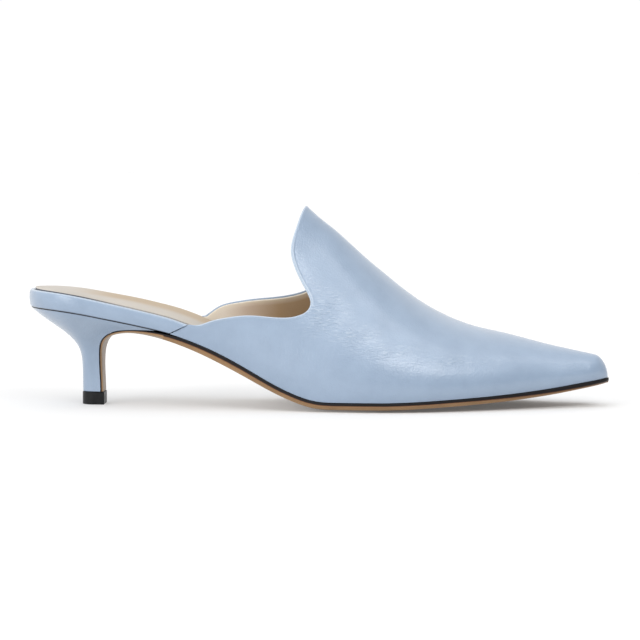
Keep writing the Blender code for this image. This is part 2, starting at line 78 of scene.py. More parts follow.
# station, pitch, edge
shankRows = [
    (0.000, 1.000, 1.00), (0.045, 0.986, 1.00), (0.094, 0.947, 1.00), (0.132, 0.901, 1.00),
    (0.177, 0.844, 1.00), (0.226, 0.776, 1.02), (0.251, 0.735, 1.05), (0.275, 0.683, 1.10),
    (0.302, 0.616, 1.16), (0.343, 0.495, 1.22), (0.385, 0.349, 1.16), (0.427, 0.196, 1.06),
    (0.448, 0.129, 1.03), (0.469, 0.072, 1.01), (0.490, 0.028, 1.00), (0.511, 0.005, 1.00),
    (0.528, 0.000, 1.00),
]

# station, spring, edge
toeRows = [
    (0.620, 0.000, 1.00), (0.657, 0.030, 1.00), (0.709, 0.105, 0.99), (0.778, 0.220, 0.97),
    (0.847, 0.376, 0.93), (0.917, 0.620, 0.87), (0.969, 0.862, 0.78), (1.000, 1.000, 0.70),
]

# station, crest, shift, outer bulge, inner bulge, rise, reach
sectionRows = [
    (0.226, 1.190, 0.026, 0.012, 0.010, 0.45, 0.45),
    (0.300, 1.190, 0.035, 0.024, 0.018, 0.45, 0.42),
    (0.377, 1.165, 0.045, 0.040, 0.030, 0.45, 0.40),
    (0.433, 1.095, 0.050, 0.050, 0.038, 0.46, 0.38),
    (0.478, 1.000, 0.051, 0.058, 0.045, 0.46, 0.38),
    (0.527, 0.893, 0.053, 0.064, 0.051, 0.46, 0.40),
    (0.576, 0.755, 0.054, 0.070, 0.058, 0.47, 0.44),
    (0.624, 0.629, 0.053, 0.070, 0.058, 0.48, 0.48),
    (0.673, 0.509, 0.048, 0.068, 0.056, 0.50, 0.52),
    (0.722, 0.415, 0.038, 0.062, 0.053, 0.52, 0.55),
    (0.770, 0.352, 0.028, 0.056, 0.050, 0.54, 0.56),
    (0.826, 0.302, 0.017, 0.050, 0.045, 0.55, 0.57),
    (0.885, 0.237, 0.008, 0.044, 0.041, 0.56, 0.58),
    (0.945, 0.169, 0.003, 0.038, 0.036, 0.57, 0.60),
    (1.000, 0.106, 0.000, 0.032, 0.031, 0.58, 0.62),
]


def naturalSpline(xs, ys):
    xs = np.asarray(xs, float)
    ys = np.asarray(ys, float)
    count = len(xs)
    step = np.diff(xs)
    slope = np.diff(ys) / step
    matrix = np.eye(count)
    right = np.zeros(count)
    for i in range(1, count - 1):
        matrix[i, i - 1 : i + 2] = step[i - 1], 2 * (step[i - 1] + step[i]), step[i]
        right[i] = 6 * (slope[i] - slope[i - 1])
    bend = np.linalg.solve(matrix, right)

    def value(x):
        x = np.clip(np.asarray(x, float), xs[0], xs[-1])
        i = np.clip(np.searchsorted(xs, x) - 1, 0, count - 2)
        ahead = xs[i + 1] - x
        behind = x - xs[i]
        bent = (bend[i] * ahead**3 + bend[i + 1] * behind**3) / (6 * step[i])
        start = (ys[i] / step[i] - bend[i] * step[i] / 6) * ahead
        end = (ys[i + 1] / step[i] - bend[i + 1] * step[i] / 6) * behind
        return bent + start + end

    return value


def splines(rows):
    columns = list(zip(*rows))
    stations = np.array(columns[0]) * lastLength
    return [naturalSpline(stations, column) for column in columns[1:]]


halfShare, bendShare = splines(outlineRows)
pitchShare, shankEdge = splines(shankRows)
springShare, toeEdge = splines(toeRows)
crestShare, shiftShare, outerBulge, innerBulge, riseShare, reachShare = splines(sectionRows)


def smoothStep(value, start, end):
    share = np.clip((value - start) / (end - start), 0, 1)
    return share * share * (3 - 2 * share)


def roundedEnd(distance, length):
    share = np.clip(distance / length, 0, 1)
    return np.sqrt(np.maximum(1 - (1 - share) ** 2, 0))


def middleLine(x):
    return bendShare(x) * lastShape["ballWidth"]


def halfWidth(x):
    ball = smoothStep(x / lastLength, *lastShape["waist"])
    reference = lastShape["seatWidth"] + (lastShape["ballWidth"] - lastShape["seatWidth"]) * ball
    ends = roundedEnd(x, lastShape["seatRound"])
    ends = ends * roundedEnd(lastLength - x, lastShape["toeRound"])
    return halfShare(x) * reference * ends


def bottomLine(x):
    x = np.asarray(x, float)
    flatStart = shankRows[-1][0] * lastLength
    flatEnd = toeRows[0][0] * lastLength
    pitch = np.where(x < flatStart, np.maximum(pitchShare(x), 0), 0)
    spring = np.where(x > flatEnd, np.maximum(springShare(x), 0), 0)
    ball = lastShape["soleEdge"] + lastShape["soleCrown"]
    return ball + (lastShape["heelHeight"] - ball) * pitch + lastShape["toeSpring"] * spring


def bottomNormal(x):
    probe = 0.5 * mm
    slope = (bottomLine(x + probe) - bottomLine(x - probe)) / (2 * probe)
    length = np.hypot(slope, 1)
    return slope / length, -1 / length


def soleEdgeHeight(x):
    flatStart = shankRows[-1][0] * lastLength
    return lastShape["soleEdge"] * np.where(x < flatStart, shankEdge(x), toeEdge(x))


def soleCrownHeight(x):
    share = x / lastLength
    rise = smoothStep(share, *lastShape["crownRise"])
    return lastShape["soleCrown"] * rise * (1 - smoothStep(share, *lastShape["crownFall"]))


def outlineAt(side, share):
    x = lastLength * (1 - np.cos(np.pi * share)) / 2
    return np.stack([x, middleLine(x) + side * halfWidth(x)], -1)


def edgePoint(side, share, grow):
    # A point of the plan outline, moved out square to it
    share = np.asarray(share, float)
    probe = 0.0005
    ahead = outlineAt(side, np.minimum(share + probe, 1))
    run = ahead - outlineAt(side, np.maximum(share - probe, 0))
    outward = np.stack([-run[..., 1], run[..., 0]], -1) * side
    outward /= np.hypot(run[..., 0], run[..., 1])[..., None]
    return outlineAt(side, share) + outward * np.asarray(grow)[..., None]


def shareAt(x):
    return np.arccos(np.clip(1 - 2 * np.asarray(x) / lastLength, -1, 1)) / np.pi


def sectionPoint(side, x, share):
    # Outer face of the upper: share 0 on the crest and 1 on the feather line
    side, x, share = np.broadcast_arrays(*(np.asarray(v, float) for v in (side, x, share)))
    ends = roundedEnd(lastLength - x, lastShape["toeRound"])
    closing = roundedEnd(lastLength - x, lastShape["toeFace"])
    height = crestShare(x) * lastShape["vampRise"] * closing
    half = halfWidth(x)
    crest = side * shiftShare(x) * lastShape["ballWidth"] * ends
    bulge = np.where(side < 0, outerBulge(x), innerBulge(x)) * lastShape["ballWidth"] * ends
    outs = (crest, crest + reachShare(x) * half, half + bulge, half)
    ups = (height, height, riseShare(x) * height, 0 * height)
    left = 1 - share
    weights = (left**3, 3 * left**2 * share, 3 * left * share**2, share**3)
    out = sum(w * v for w, v in zip(weights, outs))
    up = sum(w * v for w, v in zip(weights, ups))
    z = bottomLine(x) + lastShape["gap"] + up
    return np.stack([x, middleLine(x) + side * out, z], -1)


def sectionNormal(side, x, share):
    # Straight out of the leather
    stepShare, stepRun = 0.002, 0.05 * mm
    low = np.clip(share - stepShare, 0, 1)
    high = np.clip(share + stepShare, 0, 1)
    down = sectionPoint(side, x, high) - sectionPoint(side, x, low)
    end = lastLength - 0.02 * mm
    x = np.minimum(x, end)
    along = sectionPoint(side, np.minimum(x + stepRun, end), share)
    along = along - sectionPoint(side, x - stepRun, share)
    normal = np.cross(along, down) * np.asarray(side, float)[..., None]
    length = np.linalg.norm(normal, axis=-1, keepdims=True)
    return normal / np.maximum(length, 1e-15)


def sharesAtHeight(side, xs, heights):
    # Where each section has this height over the feather line
    steps = np.linspace(0, 1, 900)
    found = []
    for x, height in zip(xs, heights):
        rises = sectionPoint(side, x, steps)[:, 2] - bottomLine(x) - lastShape["gap"]
        found.append(np.interp(-height, -rises, steps))
    return np.array(found)


def hexColour(code):
    channels = [int(code[i : i + 2], 16) / 255 for i in (1, 3, 5)]
    linear = [c / 12.92 if c <= 0.04045 else ((c + 0.055) / 1.055) ** 2.4 for c in channels]
    return (*linear, 1.0)


def addNode(material, kind, settings=None, output=0):
    # A setting is a property, a socket's value, a ramp's stops, or another socket to link from
    tree = material.node_tree
    node = tree.nodes.new("ShaderNode" + kind)
    for name, value in (settings or {}).items():
        if name == "stops":
            ramp = node.color_ramp
            while len(ramp.elements) < len(value):
                ramp.elements.new(0.5)
            for element, (place, code) in zip(ramp.elements, value):
                element.position = place
                element.color = hexColour(code)
        elif isinstance(value, bpy.types.NodeSocket):
            tree.links.new(value, node.inputs[name])
        elif isinstance(name, int) or name in node.inputs:
            node.inputs[name].default_value = value
        else:
            setattr(node, name, value)
    return node.outputs[output]


def newMaterial(name, settings):
    # A material, the short way to add nodes to it, and the place that its patterns follow
    material = bpy.data.materials.new(name)
    material.use_nodes = True
    shader = material.node_tree.nodes["Principled BSDF"]
    for socket, value in settings.items():
        shader.inputs[socket].default_value = value

    def add(kind, settings=None, output=0):
        return addNode(material, kind, settings, output)

    return material, add, add("TexCoord", output="Object")


def feedShader(material, sources):
    shader = material.node_tree.nodes["Principled BSDF"]
    for socket, source in sources.items():
        material.node_tree.links.new(source, shader.inputs[socket])
    return material


def addObject(name, data):
    item = bpy.data.objects.new(name, data)
    bpy.context.scene.collection.objects.link(item)
    return item


def addPiece(name, points, faces, materials, faceMaterials=None, values=None, sharp=35):
    # A mesh in the shared frame: values are named numbers, one for each point
    mesh = bpy.data.meshes.new(name)
    placed = np.asarray(points, float).reshape(-1, 3) + np.array(lastShape["origin"])
    mesh.from_pydata(placed.tolist(), [], faces)
    for material in materials:
        mesh.materials.append(material)
    if faceMaterials is not None:
        mesh.polygons.foreach_set("material_index", np.asarray(faceMaterials, np.int32))
    for key, numbers in (values or {}).items():
        layer = mesh.attributes.new(key, "FLOAT", "POINT")
        layer.data.foreach_set("value", np.asarray(numbers, np.float32).ravel())
    shape = bmesh.new()
    shape.from_mesh(mesh)
    bmesh.ops.recalc_face_normals(shape, faces=shape.faces)
    shape.to_mesh(mesh)
    shape.free()
    mesh.shade_smooth()
    mesh.set_sharp_from_angle(angle=math.radians(sharp))
    piece = addObject(name, mesh)
    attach(piece, "root")
    print(f"{name}: {len(mesh.vertices)} points")
    return piece


def gridFaces(rows, columns, start=0, closed=False, flip=False):
    faces = []
    for i in range(rows - 1):
        for j in range(columns if closed else columns - 1):
            k = (j + 1) % columns
            a, b = start + i * columns + j, start + i * columns + k
            c, d = start + (i + 1) * columns + k, start + (i + 1) * columns + j
            faces.append((d, c, b, a) if flip else (a, b, c, d))
    return faces


def capFaces(columns, start, flip):
    # Closes a ring that mirrors itself, first point to last
    half = columns // 2
    faces = [(i, i + 1, columns - 2 - i, columns - 1 - i) for i in range(half - 1)]
    if columns % 2:
        faces.append((half - 1, half, half + 1))
    return [tuple(start + i for i in (face[::-1] if flip else face)) for face in faces]


def loftFaces(rings, columns, flip=False):
    faces = gridFaces(rings, columns, closed=True, flip=flip)
    faces += capFaces(columns, 0, not flip)
    faces += capFaces(columns, (rings - 1) * columns, flip)
    return faces


def waves(points, size, seed, octaves=2):
    # Soft uneven values from -1 to 1, size across
    flat = np.asarray(points, float).reshape(-1, 3)
    found = np.empty(len(flat))
    for i, point in enumerate(flat / size + seed * 7.31):
        found[i] = noise.fractal(Vector(point), 1.0, 2.0, octaves)
    return found.reshape(np.asarray(points).shape[:-1])


def mirroredRing(xs, centre, width, heights):
    # One level of a piece with two like sides
    sides = [np.broadcast_arrays(xs, centre + side * width, heights) for side in (outer, inner)]
    left, right = (np.stack(values, -1) for values in sides)
    return np.concatenate([left[::-1], right[1:]])


print("Shapes ready")

# Materials

noiseSpread = {"From Min": 0.3, "From Max": 0.7}  # where most of a noise's values lie

leatherLook = {
    "light": "#8FA1B7",
    "mid": "#8A9CB2",
    "deep": "#8597AD",
    # Painted highlight colour: the fold's ridge and topline edge, the rand's rolled top, and glints in
    # the crinkled glaze
    "ridge": "#BFCBD6",
    # Painted shade colour: the groove beside the fold and the creases; also a plainly darker tone by
    # the feather line and at the heel's foot
    "groove": "#6F829C",
    # Painted shade in the gap between the rand and the heel
    "seam": "#1D2A3D",
    "mottle": 11 * mm,
    "pores": 0.9 * mm,
    "tick": (0.8 * mm, 0.8 * mm, 3.5 * mm),
    # Sizes of the crinkle noise, which gives both bump relief and painted glints
    "crinkle": (3.0 * mm, 3.0 * mm, 0.8 * mm),
    "glint": 0.4,
    "roughness": (0.38, 0.46),
}


def makeCalf(name, look):
    # Aniline-dyed calf, glazed: a smooth pale blue face with faint pores and an even soft shine.
    # Real pores are about 0.3 mm apart, and are drawn three times as coarse so that they show
    settings = {"IOR": 1.5, "Coat Weight": 0.85, "Coat Roughness": 0.22}
    settings["Base Color"] = hexColour(look["mid"])
    material, add, place = newMaterial(name, settings)
    settings = {"Vector": place, "Scale": 1 / look["mottle"], "Detail": 3.0, "Roughness": 0.55}
    mottle = add("TexNoise", settings)
    stops = [(0.25, look["deep"]), (0.5, look["mid"]), (0.8, look["light"])]
    colour = add("ValToRGB", {"Fac": mottle, "stops": stops})
    # Painted highlight, painted shade and the painted shade of the rand-heel gap, mixed into the colour
    # by marks on the pieces
    for mark, tint in (("fold", "ridge"), ("dip", "groove"), ("seam", "seam")):
        amount = add("Attribute", {"attribute_name": mark}, "Fac")
        colour = add("Mix", {"data_type": "RGBA", 0: amount, 6: colour, 7: hexColour(look[tint])}, 2)
    low, high = look["roughness"]
    gloss = add("MapRange", {"Value": mottle, **noiseSpread, "To Min": low, "To Max": high})
    stretch = add("Mapping", {"Vector": place, "Scale": [1 / size for size in look["tick"]]})
    ticks = add("TexNoise", {"Vector": stretch, "Scale": 1.0, "Detail": 2.0})
    pores = add("TexVoronoi", {"Vector": place, "Scale": 1 / look["pores"], "Randomness": 0.9})
    grain = add("Math", {"operation": "MULTIPLY_ADD", 0: pores, 1: 0.7, 2: ticks})
    # Crinkled glaze: real relief through the bump, and painted glints in the colour
    flatten = add("Mapping", {"Vector": place, "Scale": [1 / size for size in look["crinkle"]]})
    crinkleGlintNoise = add("TexNoise", {"Vector": flatten, "Scale": 1.0, "Detail": 3.0, "Distortion": 0.6})
    crinkleGlintShare = add("Attribute", {"attribute_name": "crinkle"}, "Fac")
    settings = {"Value": crinkleGlintNoise, "From Min": 0.52, "From Max": 0.66, "To Max": look["glint"]}
    raised = add("MapRange", settings)
    glint = add("Math", {"operation": "MULTIPLY", 0: raised, 1: crinkleGlintShare})
    # Painted glints: the ridge's highlight colour where the crinkle noise is high
    colour = add("Mix", {"data_type": "RGBA", 0: glint, 6: colour, 7: hexColour(look["ridge"])}, 2)
    relief = add("Math", {"operation": "MULTIPLY", 0: crinkleGlintNoise, 1: crinkleGlintShare})
    height = add("Math", {"operation": "MULTIPLY_ADD", 0: relief, 1: 12.0, 2: grain})
    bump = add("Bump", {"Height": height, "Strength": 0.6, "Distance": 0.1 * mm})
    sources = {"Base Color": colour, "Roughness": gloss, "Normal": bump, "Coat Normal": bump}
    return feedShader(material, sources)


calf = makeCalf("periwinkleGlazedCalf", leatherLook)

liningLook = {
    "warm": "#B29878",
    "mid": "#C8B6A5",
    "pale": "#DCD3C6",
    "cut": "#E8E0D0",
    # Where the colour darkens toward the throat: partly the lining's tone, partly painted shade
    "darkens": (-46 * mm, -20 * mm),  # along the shoe
    "patch": 16 * mm,
    "grain": 0.8 * mm,
}


def makeLining(name, look):
    # Vegetable-tanned goat lining, undyed and dry: matt beige, warmer and darker toward the throat,
    # partly its own tone and partly painted shade
    material, add, place = newMaterial(name, {"Roughness": 0.72, "IOR": 1.45, "Sheen Weight": 0.1})
    along = add("SeparateXYZ", {"Vector": place}, "X")
    # Darker toward the throat: partly the lining's own tone, partly painted shade
    back, front = look["darkens"]
    settings = {"Value": along, "From Min": back, "From Max": front, "To Min": 0.05, "To Max": 0.85}
    forward = add("MapRange", settings)
    patches = add("TexNoise", {"Vector": place, "Scale": 1 / look["patch"], "Detail": 3.0})
    shade = add("Math", {"operation": "MULTIPLY_ADD", 0: patches, 1: 0.25, 2: forward})
    stops = [(0.2, look["pale"]), (0.55, look["mid"]), (1.0, look["warm"])]
    colour = add("ValToRGB", {"Fac": shade, "stops": stops})
    cut = add("Attribute", {"attribute_name": "cutEdge"}, "Fac")
    colour = add("Mix", {"data_type": "RGBA", 0: cut, 6: colour, 7: hexColour(look["cut"])}, 2)
    grain = add("TexVoronoi", {"Vector": place, "Scale": 1 / look["grain"]})
    bump = add("Bump", {"Height": grain, "Strength": 0.3, "Distance": 0.08 * mm})
    return feedShader(material, {"Base Color": colour, "Normal": bump})


lining = makeLining("undyedGoatLining", liningLook)

sockLook = {
    "pale": "#BDB6AD",
    "mid": "#B1AAA0",
    # Painted shade on the sock's inner, far side
    "tan": "#AD987B",
    # Painted shade in the crack between the sock and the rand
    "seam": "#4A4E57",
    "patch": 20 * mm,
    "grain": 0.9 * mm,
}


def makeSockLeather(name, look):
    # Finished sheepskin sock: smooth, a little satin, cream, with painted shade turning its inner side
    # tan and a painted shade line along its seam with the rand
    settings = {"Roughness": 0.5, "IOR": 1.45, "Coat Weight": 0.05, "Coat Roughness": 0.4}
    material, add, place = newMaterial(name, settings)
    patches = add("TexNoise", {"Vector": place, "Scale": 1 / look["patch"], "Detail": 3.0})
    stops = [(0.3, look["mid"]), (0.7, look["pale"])]
    colour = add("ValToRGB", {"Fac": patches, "stops": stops})
    for mark, tint in (("innerRim", "tan"), ("seam", "seam")):
        amount = add("Attribute", {"attribute_name": mark}, "Fac")
        colour = add("Mix", {"data_type": "RGBA", 0: amount, 6: colour, 7: hexColour(look[tint])}, 2)
    grain = add("TexVoronoi", {"Vector": place, "Scale": 1 / look["grain"]})
    bump = add("Bump", {"Height": grain, "Strength": 0.2, "Distance": 0.06 * mm})
    return feedShader(material, {"Base Color": colour, "Normal": bump})


sockLeather = makeSockLeather("creamSheepskinSock", sockLook)

soleLook = {
    "ink": "#141112",
    "inkWorn": "#1C1819",
    "burnt": "#5A3A2A",
    "tan": "#927150",
    "pale": "#A18465",
    "under": "#A6988B",
    "fibre": (9 * mm, 0.5 * mm, 0.5 * mm),
    "patch": 12 * mm,
}


def makeSoleLeather(name, look):
    # Oak-tanned sole bend: black edge ink above, and a bare burnished bevel and face below it
    material, add, place = newMaterial(name, {"IOR": 1.48, "Specular IOR Level": 0.22})
    stretch = add("Mapping", {"Vector": place, "Scale": [1 / size for size in look["fibre"]]})
    fibres = add("TexNoise", {"Vector": stretch, "Scale": 1.0, "Detail": 4.0})
    patches = add("TexNoise", {"Vector": place, "Scale": 1 / look["patch"], "Detail": 3.0})
    down = add("Attribute", {"attribute_name": "belowInk"}, "Fac")
    uneven = add("Math", {"operation": "MULTIPLY_ADD", 0: fibres, 1: 0.05, 2: down})
    stops = [
        (0.0, look["inkWorn"]), (0.12, look["ink"]), (0.24, look["ink"]), (0.29, look["burnt"]),
        (0.36, look["tan"]), (0.80, look["pale"]), (0.95, look["under"]),
    ]
    band = add("ValToRGB", {"Fac": uneven, "stops": stops})
    shade = add("MapRange", {"Value": patches, **noiseSpread, "To Min": 0.88, "To Max": 1.08})
    colour = add("Mix", {"data_type": "RGBA", "blend_type": "MULTIPLY", 0: 1.0, 6: band, 7: shade}, 2)
    gloss = add("MapRange", {"Value": fibres, **noiseSpread, "To Min": 0.38, "To Max": 0.55})
    bump = add("Bump", {"Height": fibres, "Strength": 0.25, "Distance": 0.05 * mm})
    return feedShader(material, {"Base Color": colour, "Roughness": gloss, "Normal": bump})


soleLeather = makeSoleLeather("oakTannedSoleBend", soleLook)

rubberLook = {"face": "#121314", "dust": "#1B1C1E", "speck": 1.5 * mm}


def makeRubber(name, look):
    # Moulded polyurethane top piece: black, hard, with a low even sheen and fine trimming marks
    material, add, place = newMaterial(name, {"IOR": 1.5, "Specular IOR Level": 0.25})
    specks = add("TexNoise", {"Vector": place, "Scale": 1 / look["speck"], "Detail": 4.0})
    stops = [(0.4, look["face"]), (0.75, look["dust"])]
    colour = add("ValToRGB", {"Fac": specks, "stops": stops})
    gloss = add("MapRange", {"Value": specks, **noiseSpread, "To Min": 0.32, "To Max": 0.5})
    bump = add("Bump", {"Height": specks, "Strength": 0.15, "Distance": 0.05 * mm})
    return feedShader(material, {"Base Color": colour, "Roughness": gloss, "Normal": bump})


rubber = makeRubber("mouldedPolyurethane", rubberLook)

boardLook = {"fibre": "#8C7350", "dark": "#6F5A3D", "speck": 0.8 * mm}


def makeBoard(name, look):
    # Cellulose insole board: dry, matt brown fibre with a felted fleck
    material, add, place = newMaterial(name, {"Roughness": 0.9, "IOR": 1.45})
    flecks = add("TexNoise", {"Vector": place, "Scale": 1 / look["speck"], "Detail": 5.0})
    stops = [(0.35, look["dark"]), (0.65, look["fibre"])]
    colour = add("ValToRGB", {"Fac": flecks, "stops": stops})
    return feedShader(material, {"Base Color": colour})


board = makeBoard("celluloseBoard", boardLook)
print("Materials ready")

# Upper: calf outside, folded over at the topline, with a goat lining inside

# station, rise, medial lift, from the vamp's peak down to the throat and back along the wing
toplineRows = [
    (0.4780, 1.000, 0.00), (0.4725, 0.960, 0.00), (0.4660, 0.890, 0.01), (0.4593, 0.810, 0.04),
    (0.4568, 0.745, 0.10), (0.4605, 0.690, 0.20), (0.4698, 0.632, 0.36), (0.4810, 0.580, 0.53),
    (0.4880, 0.545, 0.68), (0.4915, 0.515, 0.82), (0.4895, 0.482, 0.93), (0.4810, 0.448, 1.00),
    (0.4670, 0.416, 0.97), (0.4460, 0.380, 0.86), (0.4060, 0.322, 0.60), (0.3750, 0.268, 0.49),
    (0.3490, 0.214, 0.47), (0.3230, 0.157, 0.44), (0.3050, 0.113, 0.28), (0.2940, 0.094, 0.08),
]

upperPiece = {
    "wall": 1.6 * mm,
    "foldRadius": 0.5 * mm,
    "foldWidth": 0.62 * mm,
    # The ridge and groove also set where painted highlight and painted shade go
    "ridge": (0.95 * mm, 0.12 * mm, 0.32 * mm),
    "groove": (1.75 * mm, 0.08 * mm, 0.3 * mm),
    "skive": 12 * mm,
    "skiveLeft": 0.3,
    "stripStep": 0.62 * mm,
    "sewn": (46 * mm, 53 * mm, 71 * mm, 80 * mm),  # heights between which the fold stands out
    "toeZone": 9 * mm,
    "wave": (22 * mm, 0.16 * mm),
    "ripple": (7 * mm, 0.035 * mm),
}

# Creases: side, points as (station, share from crest to feather line), depth, width in mm
creaseRows = [
    (outer, [(0.495, 0.570), (0.504, 0.573), (0.513, 0.571)], 0.04, 0.5),
    (outer, [(0.493, 0.588), (0.504, 0.590), (0.519, 0.586), (0.531, 0.587)], 0.06, 0.5),
    (outer, [(0.492, 0.606), (0.500, 0.607), (0.509, 0.603)], 0.07, 0.5),
    (outer, [(0.509, 0.618), (0.520, 0.613), (0.537, 0.613)], 0.06, 0.6),
    (outer, [(0.491, 0.628), (0.503, 0.627), (0.513, 0.622), (0.526, 0.621)], 0.08, 0.5),
    (outer, [(0.490, 0.650), (0.498, 0.650), (0.510, 0.645)], 0.06, 0.5),
    (outer, [(0.514, 0.652), (0.528, 0.645), (0.548, 0.641)], 0.05, 0.7),
    (outer, [(0.489, 0.672), (0.501, 0.671), (0.517, 0.664)], 0.07, 0.5),
    (outer, [(0.487, 0.696), (0.500, 0.694), (0.510, 0.690)], 0.04, 0.6),
    (outer, [(0.470, 0.42), (0.474, 0.48), (0.480, 0.53), (0.490, 0.575)], 0.05, 1.4),
    (inner, [(0.494, 0.560), (0.508, 0.562), (0.524, 0.558)], 0.06, 0.6),
    (inner, [(0.492, 0.584), (0.506, 0.585), (0.524, 0.578), (0.540, 0.575)], 0.08, 0.6),
    (inner, [(0.490, 0.607), (0.502, 0.606), (0.516, 0.598)], 0.06, 0.6),
    (inner, [(0.490, 0.629), (0.502, 0.627), (0.522, 0.616)], 0.08, 0.6),
    (inner, [(0.488, 0.655), (0.502, 0.652), (0.516, 0.644)], 0.06, 0.6),
]

# Crinkled glaze, with painted glints, along the vamp's highlight band: station, height as a share of
# the vamp's rise, length, spread, strength
crinkleRows = [
    (0.515, 0.520, 9 * mm, 9 * mm, 1.0),
    (0.560, 0.410, 11 * mm, 5 * mm, 0.8),
    (0.620, 0.325, 16 * mm, 3.5 * mm, 0.65),
    (0.720, 0.270, 24 * mm, 2.5 * mm, 0.5),
]


def randHeight(x):
    back, front = randPiece["height"], randPiece["frontHeight"]
    return back + (front - back) * smoothStep(x, 0, lastShape["jointTop"])


# The leather strip around the heel seat: out from the feather line, and up, as shares
randPiece = {
    "height": 8.0 * mm,
    "frontHeight": 6.9 * mm,
    "wall": 1.8 * mm,
    "seam": 0.4 * mm,
    # Share of the height, at the bottom, that takes painted shade from the gap to the heel
    "seamShare": 0.07,
    # Painted highlight along the rolled top
    "paintedTopHighlight": (0.97, 0.03, 0.5),  # middle, spread, strength
    "profile": [
        (-0.12, 0.00), (0.10, 0.035), (0.22, 0.10), (0.32, 0.22), (0.42, 0.38), (0.46, 0.54),
        (0.44, 0.70), (0.39, 0.81), (0.26, 0.915), (0.02, 0.975), (-0.30, 1.00), (-0.62, 0.985),
        (-0.86, 0.93), (-1.00, 0.84), (-1.00, 0.40), (-1.00, 0.00),
    ],
    "stations": 260,
    "around": 44,
}


def toplineStrips(side):
    # Points along the topline, evenly spaced, from the vamp's peak to the foot of the wing
    rows = np.arange(len(toplineRows))
    stations, rises, lifts = (naturalSpline(rows, values) for values in zip(*toplineRows))
    order = np.linspace(0, rows[-1], 700)
    lift = lastShape["medialLift"] if side == inner else 0.0
    xs = stations(order) * lastLength
    heights = rises(order) * lastShape["vampRise"] + lifts(order) * lift
    steps = np.linspace(0, 1, 60)[1:]
    foot, top = lastShape["jointFoot"], lastShape["jointTop"]
    endHeight = float(randHeight(top)) + lastShape["gap"]
    lead = np.linspace(0, 1, 20)[1:]
    xs = np.concatenate([xs, xs[-1] + (top - xs[-1]) * lead, top + (foot - top) * steps])
    leadHeights = heights[-1] + (endHeight - heights[-1]) * lead
    heights = np.concatenate([heights, leadHeights, endHeight * (1 - steps)])
    shares = sharesAtHeight(side, xs, heights)
    points = sectionPoint(side, xs, shares)
    run = np.concatenate([[0], np.cumsum(np.linalg.norm(np.diff(points, axis=0), axis=1))])
    even = np.linspace(0, run[-1], int(run[-1] / upperPiece["stripStep"]) + 1)
    return np.interp(even, run, xs), np.interp(even, run, shares), points


def creaseDepths(side, points):
    # Soft troughs with a low ridge along each side
    depth = np.zeros(points.shape[:-1])
    for creaseSide, path, deep, wide in creaseRows:
        stations, shares = (np.array(v) for v in zip(*path))
        at = np.arange(len(path))
        fine = np.linspace(0, at[-1], 60)
        xs = naturalSpline(at, stations)(fine) * lastLength
        line = sectionPoint(creaseSide, xs, naturalSpline(at, shares)(fine))
        low, high = line.min(0) - 5 * mm, line.max(0) + 5 * mm
        near = np.all((points > low) & (points < high), axis=-1) & (side == creaseSide)
        if not near.any():
            continue
        gaps = np.linalg.norm(points[near][:, None] - line[None], axis=2)
        nearest = gaps.argmin(1)
        away = gaps.min(1) / (wide * mm)
        taper = np.sin(np.pi * (nearest + 0.5) / len(fine)) ** 0.7
        trough = np.exp(-(away**2)) - 0.35 * np.exp(-((away - 2.0) ** 2))
        depth[near] -= deep * mm * taper * trough
    return depth


def crinkleAndGlintZone(points):
    # Where walking has broken the glaze, and where painted glints show: around the throat, and less
    # along the vamp's shoulder
    share = np.zeros(points.shape[:-1])
    for station, height, length, spread, strength in crinkleRows:
        along = (points[..., 0] - station * lastLength) / length
        up = (points[..., 2] - height * lastShape["vampRise"]) / spread
        share = np.maximum(share, strength * np.exp(-(along**2) - up**2))
    return share


def zipFaces(first, second, points, flip=False):
    # Joins two rows of points of different lengths with triangles
    faces = []
    i = j = 0
    while i < len(first) - 1 or j < len(second) - 1:
        ahead = points[first[i + 1]][0] if i < len(first) - 1 else np.inf
        other = points[second[j + 1]][0] if j < len(second) - 1 else np.inf
        if ahead <= other:
            face = (first[i], first[i + 1], second[j])
            i += 1
        else:
            face = (first[i], second[j + 1], second[j])
            j += 1
        faces.append(face[::-1] if flip else face)
    return faces


